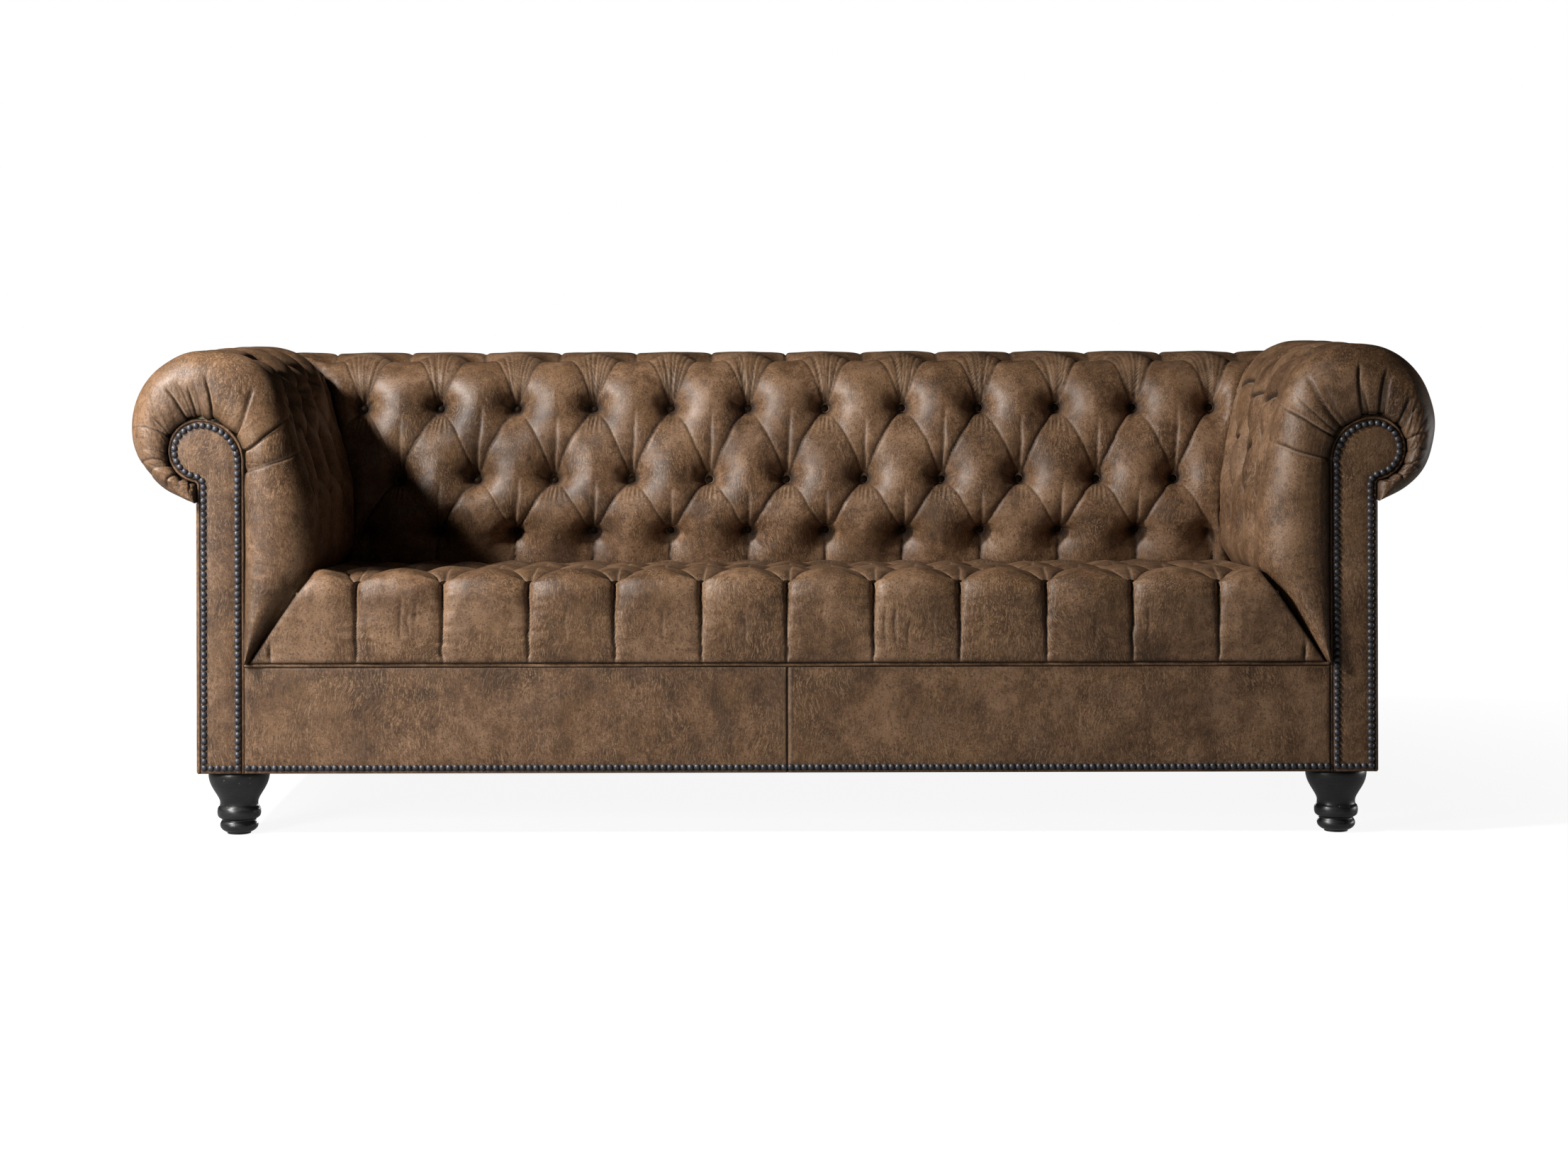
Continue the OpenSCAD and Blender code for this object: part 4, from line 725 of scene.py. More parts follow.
def build_arm(side):
    """An arm's cover: the pleated border from the facing's piping to the roll, then the tufted side."""
    s = rising(ARM.length, fine_from=60.0, fine_to=ARM.length - 40, fine=2.2, coarse=8.0)
    u, z, nu, nz = ARM.at(s)
    lu, lz, _, _ = LIP.at(lip_place(s))
    width = np.hypot(u - lu, z - lz)
    lines = pleat_lines(PLEATS[side])

    share, off = border_rows(BORDER_ROWS)
    w = share[:, None]
    border = np.stack([mix(lu, u, w), FRONT_Y + off[:, None] + 0 * s, mix(lz, z, w)], -1)
    along = np.gradient(border, axis=1)
    normal = np.cross(np.gradient(border, axis=0), along)
    normal /= np.maximum(np.linalg.norm(normal, axis=2, keepdims=True), 1e-6)
    pace = np.maximum(np.linalg.norm(along, axis=2) / np.gradient(s), 0.15)
    front = border_relief(s[None, :], w, width, pace, lines, ARM_TUFTS[side].seed)
    border = border - normal * (front.depth * smooth(width / 20))[..., None]

    seam = SEAM * smooth(s / ARM_FIRST)
    end, start = corner_y(u - seam * nu), FRONT_Y + BORDER_DEPTH
    y = start + np.linspace(0, 1, SIDE_ROWS)[1:, None] * (end - start)
    body = side_relief(s + 0 * y, y, y - start, (end - y) * 0.62, seam, lines, side)
    points = np.stack([u - body.depth * nu, y, z - body.depth * nz], -1)

    grid = np.concatenate([border, points])
    free = np.concatenate([smooth(share / 0.6), np.ones(len(points))])[:, None]
    level = grid[..., 2].copy()
    grid[..., 2] += arm_rise(side, grid[..., 1], level) * free
    grid[..., 0] += side * arm_lean(grid[..., 1], level) * free
    cu, cz, _, _ = ARM_CORE.at(s * ARM_CORE.length / ARM.length)
    near = np.stack([cu, np.full_like(cu, FRAME_FRONT + SCROLL_BOARD), cz], -1)
    far = np.stack([cu, corner_y(cu) - GAP, cz], -1)
    for block in (grid, near, far):
        block[..., 0] = side * (SIDE_X - block[..., 0])
    crease, wear = np.concatenate([front.crease, body.crease]), np.concatenate([front.wear, body.wear])
    return closed_sheet("tufted_arm_" + WORDS[side], grid, near, far, side > 0, crease, wear)


# Seat

SEAT_TOP = 456.0
SEAT_REAR_Z = 423.0
SEAT_FRONT_ROUND = 45.0
SEAT_SET_BACK = 12.0


def pad_reach(outline, z):
    """Inward distance of a pad's inner side below its fullest point."""
    k = int(np.argmax(outline.p[:, 0]))
    return np.interp(z, outline.p[:k, 1], outline.p[:k, 0])


def seat_outline(skin):
    """The seat from its foot at the front, over its round front edge, to the back."""
    rear = -(REAR_Y - float(pad_reach(BACK, SEAT_REAR_Z)) - GAP)
    foot = (-FRONT_Y - SEAT_SET_BACK - skin, FOOT_Z, 0)
    front = (-FRONT_Y - SEAT_FRONT_ROUND, SEAT_TOP - SEAT_FRONT_ROUND, SEAT_FRONT_ROUND - skin)
    return Outline(wrap_path([foot, front, (rear, SEAT_REAR_Z - skin, 0)], math.pi / 2))


SEAT_CORE_SKIN = 36.0
SEAT, SEAT_CORE = seat_outline(0.0), seat_outline(SEAT_CORE_SKIN)
SEAT_TUFTS = Tufting(first=172.0, pitch=130.0, top=4, shift=0.0, origin=0.0, depth=36.0, seed=83)
SEAT_SIDE_GAP = 3.0
SEAT_COLUMNS = 760
# Loose creases of the seat's front: place on the outline, x, length, angle, depth and width
SEAT_FOLDS = [
    (75, -655, 90, 4, 1.8, 3.0), (70, -640, 70, -3, 1.4, 2.6), (88, -628, 60, 6, 1.2, 2.4),
    (70, -375, 80, 2, 1.2, 3.0), (60, -330, 60, -4, 0.9, 2.6), (60, 165, 80, 3, 1.8, 3.0),
    (66, 182, 86, -2, 2.0, 2.6), (52, 206, 70, 4, 1.4, 2.6), (60, 248, 90, 2, 1.0, 3.0),
    (80, 330, 60, -5, 1.0, 3.0), (50, 520, 70, 3, 1.0, 3.0), (66, 610, 80, -3, 1.4, 2.8),
    (70, -210, 70, 4, 0.9, 2.8), (62, -72, 80, -2, 1.0, 3.0), (90, 60, 60, 8, 0.8, 3.0),
]


def channel_relief(s, x):
    """The seat's front: pads between channels that deepen towards the first row of buttons."""
    out = Relief()
    t = x / SPACING
    offset = (t - np.round(t)) * SPACING
    q = offset + 1.4 * noise(s / 22, np.round(t), 9) + 0.7 * noise(s / 8, np.round(t), 10)
    climb = smooth(s / 135)
    out.sink((3.0 + 19.0 * climb ** 2) * (1 - np.abs(np.sin(np.pi * t)) ** 0.38))
    # The channel gets a painted shade line and a pale lip, partly wear and partly painted highlight
    out.fold(q, 1.0, 4.0 + 4.0 * climb, **CHANNEL)
    out.sink(uneven(x, s, 15, 0.9, (48, 60), 0.45, (15, 30)))
    out.sink(0.8 * smooth((60 - np.abs(offset)) / 50) * noise(s / 9, x / 26, 18))
    return out


def build_seat():
    s = np.concatenate([np.linspace(0, 250, 110)[:-1], np.linspace(250, SEAT.length, 104)])[:, None]
    u, z, nu, nz = SEAT.at(s)
    end = SIDE_X - pad_reach(ARM, z) - SEAT_SIDE_GAP
    x = np.linspace(-1, 1, SEAT_COLUMNS)[None, :] * end
    out = tufted_relief(SEAT_TUFTS, s, x, slash=4.0, backslash=4.6, fold=4.0, bundle=0.0, swell=12.0)
    front, face = channel_relief(s, x), smooth((SEAT_TUFTS.first + 6 - s) / 30)
    out.turn_into(front, face)
    out.add(loose_folds(s, x, SEAT_FOLDS))
    edge = end - np.abs(x)
    keep = smooth((edge - 2) / 22)
    rear = SEAT.length - s
    d = out.depth * keep + 5.0 * np.exp(-edge / 9.0)
    d = d * mix(0.35, 1.0, smooth(s / 14)) + 2.5 * np.exp(-s / 4.0)
    d = d * smooth((rear + 10) / 30) + 5.0 * np.exp(-rear / 16.0)
    out.scale(1.0, keep, keep)
    # Painted shade at the seat's sides, against the arms, and along its foot at the piping
    out.darken(0.9 * np.exp(-edge / 3.0))
    out.darken(0.8 * np.exp(-s / 2.5))
    points = np.stack([x, -(u - d * nu), z - d * nz], -1)
    cu, cz, _, _ = SEAT_CORE.at(s[:, 0] * SEAT_CORE.length / SEAT.length)
    half = SIDE_X - float(pad_reach(ARM, SEAT_TOP)) - SEAT_SIDE_GAP - SEAT_CORE_SKIN
    ends = [np.stack([np.full_like(cu, side * half), -cu, cz], -1) for side in (-1, 1)]
    return closed_sheet("tufted_seat", points.transpose(1, 0, 2), *ends, False, out.crease.T, out.wear.T)


# Buttons

BUTTON_PROFILE = [
    (0.0, 5.2), (2.4, 5.0), (4.8, 4.3), (7.0, 3.0), (8.6, 1.2), (9.3, -0.8), (9.0, -3.0), (6.0, -6.0),
]
BUTTON_SIDES = 20
SEAT_BUTTON_DEPTH = 27.0
ARM_BUTTON_DEPTH = 35.0
BACK_BUTTON_DEPTH = 49.0
# The seat's buttons keep within a reach, the ends of the back's rows keep away from the corners
SEAT_BUTTON_REACH = 765.0
BACK_ROW_ENDS = [40.0, 40.0, 14.0, 40.0]


def build_buttons(name, places):
    """Covered buttons, each with small gathers round its rim."""
    verts, faces = [], []
    rings = len(BUTTON_PROFILE)
    for index, (centre, normal) in enumerate(places):
        turn = Vector(normal).normalized().to_track_quat("Z", "Y")
        faces += dome_faces(len(verts), rings - 1, BUTTON_SIDES)
        verts.append(tuple(Vector(centre) + turn @ Vector((0, 0, BUTTON_PROFILE[0][1]))))
        for k in range(1, rings):
            r, h = BUTTON_PROFILE[k]
            for j in range(BUTTON_SIDES):
                angle = 2 * math.pi * j / BUTTON_SIDES
                gather = 0.35 * math.sin(6 * angle + 1.7 * index) * (k / rings) ** 2
                wide = r + gather
                point = Vector((wide * math.cos(angle), wide * math.sin(angle), h + 0.4 * gather))
                verts.append(tuple(Vector(centre) + turn @ point))
    return make_object(name, verts, faces)


def row_places(outline, rows, shift):
    """Places along each row, with the row's number and the outline's point and normal there."""
    out = []
    for m, s in enumerate(rows):
        point = [float(v) for v in outline.at(s)]
        out += [(m, (k - m / 2 + shift) * SPACING, *point) for k in range(-7, 8)]
    return out


def back_buttons():
    out, d = [], BACK_BUTTON_DEPTH
    for m, x, u, z, nu, nz in row_places(BACK, BACK_SEEN[1:-1], BACK_TUFTS.shift):
        if abs(x) < corner_x(u) - BACK_ROW_ENDS[m]:
            out.append(((x, REAR_Y - u + d * nu, z - d * nz), (0, -nu, nz)))
    return out


def seat_buttons():
    out, d = [], SEAT_BUTTON_DEPTH
    rows = [s for s in SEAT_TUFTS.rows if s < SEAT.length - 12]
    for _, x, u, z, nu, nz in row_places(SEAT, rows, SEAT_TUFTS.shift):
        if abs(x) < SEAT_BUTTON_REACH:
            out.append(((x, d * nu - u, z - d * nz), (0, -nu, nz)))
    return out


def arm_buttons(side):
    out, d = [], ARM_BUTTON_DEPTH
    for _, along, u, z, nu, nz in row_places(ARM, ARM_TUFTS[side].rows, ARM_TUFTS[side].shift):
        y = along + ARM_ORIGIN
        if FRONT_Y + 124 < y < ARM_ORIGIN - 48:
            x = side * (SIDE_X - u + d * nu) - float(arm_lean(y, z))
            out.append(((x, y, z - d * nz + float(arm_rise(side, y, z))), (-side * nu, 0, nz)))
    return out


# Panels, piping, nails and legs


def tube_faces(rings, count):
    """Faces of rings of points that follow each other, closed at both ends."""
    last = (rings - 1) * count
    return ring_faces(rings, count) + [list(range(count))[::-1], list(range(last, last + count))]


def sweep(name, path, radius, sides=12):
    """A round tube along points."""
    run = np.concatenate([path[1:], path[-1:]]) - np.concatenate([path[:1], path[:-1]])
    run /= np.linalg.norm(run, axis=1, keepdims=True)
    side = np.cross(run[0], [0.3, 0.5, 0.8])
    verts = []
    for place, ahead in zip(path, run):
        side = side - ahead * np.dot(side, ahead)
        side /= np.linalg.norm(side)
        up = np.cross(ahead, side)
        for k in range(sides):
            a = 2 * math.pi * k / sides
            verts.append(place + radius * (math.cos(a) * side + math.sin(a) * up))
    return make_object(name, verts, tube_faces(len(path), sides))


def rounded_line(low, high, step, edge):
    """Even places from low to high, with closer ones where the edge bends."""
    inner = np.linspace(low + edge, high - edge, max(3, int((high - low) / step)))[1:-1]
    bend = np.array([0.0, 0.12, 0.35, 0.65, 1.0]) * edge
    return np.concatenate([low + bend, inner, (high - bend)[::-1]])


def panel_sheet(name, low, high, axis, relief, step, edge=3.0):
    """A closed leather panel: low and high corners in its own plane, a relief out of it, rounded edges.
    axis says where it faces: (origin, right, up, out)."""
    px, pz = rounded_line(low[0], high[0], step, edge), rounded_line(low[1], high[1], step, edge)
    gx, gz = np.meshgrid(px, pz)
    rim = np.minimum(np.minimum(gx - low[0], high[0] - gx), np.minimum(gz - low[1], high[1] - gz))
    drop = edge - np.sqrt(np.maximum(edge ** 2 - np.maximum(edge - rim, 0) ** 2, 0))
    out, crease, wear = relief(gx, gz)
    h = PANEL - drop + out * smooth(rim / 8)
    origin, right, up, front = (np.array(v, float) for v in axis)
    base = origin + gx[..., None] * right + gz[..., None] * up
    top = base + h[..., None] * front
    r, c = gx.shape
    ring = [(0, j) for j in range(c)] + [(i, c - 1) for i in range(1, r)]
    ring += [(r - 1, j) for j in range(c - 2, -1, -1)] + [(i, 0) for i in range(r - 2, 0, -1)]
    verts = np.concatenate([top.reshape(-1, 3), np.array([base[i, j] for i, j in ring])])
    faces = grid_faces(r, c, False)
    n, m = r * c, len(ring)
    for k in range(m):
        a, b = ring[k], ring[(k + 1) % m]
        faces.append([a[0] * c + a[1], n + k, n + (k + 1) % m, b[0] * c + b[1]])
    faces.append([n + k for k in range(m)][::-1])
    if np.dot(np.cross(right, up), front) < 0:
        faces = [f[::-1] for f in faces]
    below = np.zeros(m)
    return make_object(name, verts, faces, crease=np.append(crease, below), wear=np.append(wear, below))


def puff(z, top, reach):
    """A panel's padding, flat along its lower and upper edge."""
    return 1.2 * smooth((z - BASE_Z) / reach) * smooth((top - z) / reach)


def seam_rise(seam):
    """A sewn seam: a groove between two raised edges."""
    return 0.5 * bell(seam - 5, 2.5) - 1.4 * np.exp(-seam / 3.0)


NAIL_PITCH = 11.3
NAIL_Z = 120.0
NAIL_INSET = 6.0
NAIL_PROFILE = [(0.0, 4.4), (1.7, 4.2), (3.2, 3.6), (4.5, 2.5), (5.2, 1.4), (5.6, 0.2), (5.4, -0.9)]
NAIL_SIDES = 16
PANEL_END = SIDE_X - FACING_INSET - FACING_WIDTH - PIPING - GAP


def facing_nail_places():
    """Nail centres in (inward distance, height) round a facing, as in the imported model."""
    line = Outline(facing_pieces(NAIL_INSET, NAIL_Z, NAIL_Z))
    u, z, _, _ = line.at(np.linspace(0, line.length, round(line.length / NAIL_PITCH) + 1))
    gap = FACING_WIDTH - 2 * NAIL_INSET
    across = int(gap / NAIL_PITCH)
    lowest = [(FACING_INSET + NAIL_INSET + gap * i / across, NAIL_Z) for i in range(1, across)]
    return list(zip(u.tolist(), z.tolist())) + lowest


def front_nail_places():
    length = 2 * (PANEL_END - NAIL_PITCH / 2)
    count = round(length / NAIL_PITCH / 2) * 2 - 1
    return [(length * (i / count - 0.5), NAIL_Z) for i in range(count + 1)]


def build_nails(name, places):
    """Domed heads on the front face, each slightly turned and sunk its own way."""
    rng = np.random.default_rng(5)
    verts, faces = [], []
    for x, z in places:
        tilt = rng.normal(0, 0.05, 2)
        lift = rng.normal(0, 0.12)
        faces += dome_faces(len(verts), len(NAIL_PROFILE) - 1, NAIL_SIDES)
        verts.append((x, FACE_Y - NAIL_PROFILE[0][1] - lift, z))
        for r, h in NAIL_PROFILE[1:]:
            for j in range(NAIL_SIDES):
                a = 2 * math.pi * j / NAIL_SIDES
                px, pz = r * math.cos(a), r * math.sin(a)
                verts.append((x + px, FACE_Y - h - lift + px * tilt[0] + pz * tilt[1], z + pz))
    return make_object(name, verts, faces)


def dimples(x, z, places, reach=7.5, depth=0.9):
    """How far the nails draw the leather in."""
    out = np.zeros_like(x)
    for px, pz in places:
        near = (np.abs(x - px) < 3 * reach) & (np.abs(z - pz) < 3 * reach)
        out[near] += depth * np.exp(-((x[near] - px) ** 2 + (z[near] - pz) ** 2) / reach ** 2)
    return np.minimum(out, 1.4 * depth)


def front_panel_relief(x, z):
    """A seam with a stitched line at the sofa's middle, and a rolled lower edge."""
    seam = np.abs(x)
    stitch = bell(seam - 8, 0.9)
    rim = z - BASE_Z + 0.5 * noise(x / 60, 0 * x, 43)
    out = puff(z, APRON_TOP, 40) + uneven(x, z, 41, 0.5, (80, 60), 0.25, (24, 40))
    out += seam_rise(seam) - 0.5 * stitch - dimples(x, z, front_nail_places())
    out += 1.2 * bell(rim - 2.5, 2.0) - bell(rim - 5.2, 1.4)
    # Painted shade in the seam, in the rolled edge's groove and under the seat's piping, a darker stitched
    # line, and pale seam edges, partly wear and partly painted highlight
    lines = [0.8 * np.exp(-seam / 1.6), 0.35 * stitch]
    lines += [0.85 * bell(rim - 5.2, 1.3), 0.5 * np.exp(-(APRON_TOP - z) / 3.0)]
    return out, np.maximum.reduce(lines), 0.3 * bell(seam - 4.5, 2)


def build_front_panel(side):
    low, high = sorted((side * GAP, side * PANEL_END))
    axis = ((0, FRAME_FRONT, 0), (1, 0, 0), (0, 0, 1), (0, -1, 0))
    name = "front_apron_" + WORDS[side]
    return panel_sheet(name, (low, BASE_Z), (high, APRON_TOP), axis, front_panel_relief, step=2.6)


FACING_POINTS = 420
# A facing's padded section from its edge inwards: inset and height above the panel's plane
FACING_SECTION = [
    (0.0, -2.8), (0.3, -1.6), (1.0, -0.7), (2.0, -0.2), (3.4, 0.0), (6.0, 0.2),
    (9.0, 0.3), (13.0, 0.7), (18.0, 1.1), (23.0, 1.4), (28.0, 1.5), (32.0, 1.55),
]


def build_facing(side):
    """The scroll-headed panel on the front of an arm, with a padded face."""
    share = np.linspace(0, 1, FACING_POINTS)
    rings, creases = [], [0.0]
    for inset, height in FACING_SECTION:
        line = Outline(facing_pieces(inset, BASE_Z + inset, BASE_Z + inset))
        u, z, _, _ = line.at(share * line.length)
        rings.append(np.stack([u, np.full_like(u, PANEL + height), z], -1))
        # Painted shade along the facing's rim, next to the piping
        creases.append(0.7 * math.exp(-inset / 2.0))
    rings = np.array(rings)
    u, z = rings[..., 0], rings[..., 2]
    rings[..., 1] += 0.35 * noise(u / 22, z / 30, 61) - dimples(u, z, facing_nail_places())
    verts = np.concatenate([rings[:1] * [1, 0, 1], rings]).reshape(-1, 3)
    verts = np.stack([side * (SIDE_X - verts[:, 0]), FRAME_FRONT - verts[:, 1], verts[:, 2]], -1)
    faces = tube_faces(len(creases), len(share))
    if side > 0:
        faces = [f[::-1] for f in faces]
    crease = np.repeat(creases, len(share))
    return make_object("scroll_facing_" + WORDS[side], verts, faces, crease=crease, wear=0 * crease)


def build_facing_piping(side):
    line = Outline(facing_pieces(-(PIPING + GAP) / 2, BASE_Z, BASE_Z))
    s = np.linspace(0, line.length, 560)
    u, z, _, _ = line.at(s)
    y = FRAME_FRONT - PIPING / 2 - GAP - 1.0 + 0.25 * noise(s / 20, s * 0, 71)
    return sweep("piping_facing_" + WORDS[side], np.stack([side * (SIDE_X - u), y, z], 1), PIPING / 2)


def build_seat_piping():
    x = np.linspace(-PANEL_END, PANEL_END, 500)
    y = FACE_Y + 2.5 + 0.25 * noise(x / 25, x * 0, 72)
    z = SEAT_PIPING_Z + 0.7 * noise(x / 70, x * 0, 73)
    return sweep("piping_seat", np.stack([x, y, z], 1), SEAT_PIPING / 2)


# The turned leg's radius by height; the part above the neck is stretched to the leg's full height
LEG_POINTS = [
    (22.0, 3.0), (25.5, 4.6), (29.0, 7.2), (31.6, 10.6), (32.5, 14.0), (32.0, 17.6), (30.5, 20.6),
    (29.2, 22.6), (28.8, 24.4), (29.2, 25.2), (32.6, 26.6), (35.4, 28.8), (36.7, 32.0), (37.2, 37.0),
    (36.8, 41.6), (35.6, 44.8), (33.6, 46.6), (32.9, 47.6), (32.5, 50.0), (32.4, 53.5), (33.0, 56.6),
    (35.2, 61.0), (39.0, 66.6), (43.6, 73.0), (47.6, 79.6), (50.2, 85.6), (51.6, 91.0), (52.0, 95.0),
    (51.6, 98.6), (50.2, 101.4), (48.0, 103.0),
]
LEG_NECK = 54.0
LEG_SIDES = 72
LEG_PLACES = {
    "front_left": (-939, -395), "front_right": (939, -395),
    "rear_left": (-939, 305), "rear_right": (939, 305),
}
KNOCK_HEIGHTS = [38.0, 45.0, 90.0, 96.0, 14.0]
KNOCKS = 26
KNOCK_DEPTH = 0.5


def leg_height(z):
    stretch = (BASE_Z - LEG_NECK) / (LEG_POINTS[-1][1] - LEG_NECK)
    return z if z < LEG_NECK else LEG_NECK + (z - LEG_NECK) * stretch


def build_leg(index, word):
    """A turned leg with small knocks along its rings and its wide edge."""
    points = resample([(r, leg_height(z)) for r, z in LEG_POINTS], step=1.6)
    a = 2 * math.pi * np.arange(LEG_SIDES) / LEG_SIDES
    out = np.tile(np.stack([np.cos(a), np.sin(a), 0 * a], -1), (len(points), 1))
    radius, height = np.repeat(points, LEG_SIDES, axis=0).T
    middle = np.array([*LEG_PLACES[word], 0.0])
    verts = middle + radius[:, None] * out + height[:, None] * [0, 0, 1]
    rng = np.random.default_rng(90 + index)
    chips = np.zeros(len(verts))
    for _ in range(KNOCKS):
        angle = rng.uniform(0, 2 * math.pi)
        z = rng.choice(KNOCK_HEIGHTS) + rng.normal(0, 3)
        r, z = points[np.argmin(np.abs(points[:, 1] - z))]
        knock = middle + [r * math.cos(angle), r * math.sin(angle), z]
        chips = np.maximum(chips, bell(np.linalg.norm(verts - knock, axis=1), rng.uniform(1.6, 3.4)))
    verts -= KNOCK_DEPTH * chips[:, None] * out
    return make_object("leg_" + word, verts, tube_faces(len(points), LEG_SIDES), chip=chips)


def build_outside_arm(side):
    low, high = FRAME_FRONT, FRAME_REAR
    top = float(ARM.at(ARM.length)[1]) - GAP

    def relief(y, z):
        out = puff(z, top, 60) * smooth((y - low) / 40) * smooth((high - y) / 40) - 1.0
        return out + uneven(y, z, 44, 0.5, (90, 80), 0.25, (26, 45)), 0 * y, 0 * y

    axis = ((side * (SIDE_X - PANEL), 0, 0), (0, 1, 0), (0, 0, 1), (side, 0, 0))
    name = "outside_arm_panel_" + WORDS[side]
    return panel_sheet(name, (low, BASE_Z), (high, top), axis, relief, step=7.0)


BACK_SEAMS = (-331.0, 331.0)


def build_outside_back():
    top = float(BACK.at(BACK.length)[1]) - GAP

    def relief(x, z):
        out, crease = puff(z, top, 60) + uneven(x, z, 46, 0.5, (90, 80), 0.25, (26, 45)) - 1.0, 0 * x
        for place in BACK_SEAMS:
            seam = np.abs(x - place)
            out = out + seam_rise(seam)
            # Painted shade in the seams
            crease = np.maximum(crease, 0.8 * np.exp(-seam / 1.8))
        return out, crease, 0 * x

    axis = ((0, FRAME_REAR, 0), (1, 0, 0), (0, 0, 1), (0, 1, 0))
    return panel_sheet("outside_back_panel", (-SIDE_X, BASE_Z), (SIDE_X, top), axis, relief, step=6.0)


# Materials


class Nodes:
    """The node tree of a material or of the world."""

    def __init__(self, owner, output):
        owner.use_nodes = True
        self.owner, self.tree = owner, owner.node_tree
        self.tree.nodes.clear()
        self.out = self.add(output)

    def add(self, kind, inputs=None, **props):
        node = self.tree.nodes.new("ShaderNode" + kind)
        for key, value in props.items():
            setattr(node, key, value)
        for key, value in (inputs or {}).items():
            if hasattr(value, "node"):
                self.tree.links.new(value, node.inputs[key])
            elif node.inputs[key].type == "RGBA":
                node.inputs[key].default_value = (*value, 1.0)
            else:
                node.inputs[key].default_value = value
        return node

    def math(self, operation, a, b):
        return self.add("Math", {0: a, 1: b}, operation=operation).outputs[0]

    def times(self, a, b):
        return self.math("MULTIPLY", a, b)

    def weighted(self, *terms):
        """The sum of values, each with its share."""
        total = self.times(*terms[0])
        for term in terms[1:]:
            total = self.math("ADD", total, self.times(*term))
        return total

    def stretch(self, scale, shift=(0, 0, 0)):
        return self.add("Mapping", {"Vector": self.coords, "Scale": scale, "Location": shift}).outputs[0]

    def noise(self, scale, detail=4.0, rough=0.6, vector=None, distortion=0.0, output=0):
        inputs = {"Vector": vector or self.coords, "Scale": scale, "Detail": detail, "Roughness": rough}
        return self.add("TexNoise", {**inputs, "Distortion": distortion}).outputs[output]

    def ramp(self, factor, stops):
        node = self.add("ValToRGB", {"Fac": factor})
        elements = node.color_ramp.elements
        while len(elements) < len(stops):
            elements.new(0.5)
        for element, (place, colour) in zip(elements, stops):
            element.position = place
            element.color = (*colour, 1.0)
        return node.outputs["Color"]

    def range(self, value, low, high, to_low=0.0, to_high=1.0):
        inputs = {"Value": value, "From Min": low, "From Max": high, "To Min": to_low, "To Max": to_high}
        return self.add("MapRange", inputs, clamp=True).outputs[0]

    def blend(self, factor, a, b):
        return self.add("Mix", {0: factor, 6: a, 7: b}, data_type="RGBA", blend_type="MIX").outputs[2]

    def attribute(self, name):
        return self.add("Attribute", attribute_name=name).outputs["Fac"]

    def bump(self, height, strength, distance):
        inputs = {"Height": height, "Strength": strength, "Distance": distance}
        return self.add("Bump", inputs).outputs["Normal"]

    def connect(self, shader):
        self.tree.links.new(shader.outputs[0], self.out.inputs[0])
        return self.owner

    def finish(self, colour, rough, **inputs):
        inputs = {key.replace("_", " "): value for key, value in inputs.items()}
        return self.connect(self.add("BsdfPrincipled", {"Base Color": colour, "Roughness": rough, **inputs}))


def material_nodes(name):
    n = Nodes(bpy.data.materials.new(name), "OutputMaterial")
    n.coords = n.add("TexCoord").outputs["Object"]
    return n


# Places on the tint and the leather's colours there, from dark to light
LEATHER_COLOURS = [
    (0.465, (0.046, 0.0218, 0.0094)), (0.520, (0.092, 0.0462, 0.0216)),
    (0.560, (0.140, 0.0748, 0.0380)), (0.610, (0.215, 0.1240, 0.0700)),
]
# Warm and greyish patches: offset, scale, where they start, strength and colour
LEATHER_PATCHES = [
    ((7.7, 0.0, 0.0), 10.0, 0.50, 0.38, (0.152, 0.080, 0.033)),
    ((0.0, 5.1, 0.0), 12.0, 0.52, 0.32, (0.115, 0.070, 0.048)),
]
HAIR_TURNS = [(0.3, 0.5, 0.2), (1.4, 0.2, 1.1), (0.8, 2.1, 0.5)]
HAIR_COLOUR, SPECK_COLOUR = (0.30, 0.18, 0.10), (0.045, 0.024, 0.012)
# The pale lips' colour, partly wear and partly painted highlight, and the painted shade's colour in creases
WORN_SHEEN_COLOUR, CREASE_SHADE_COLOUR = (0.42, 0.285, 0.185), (0.005, 0.0026, 0.0014)


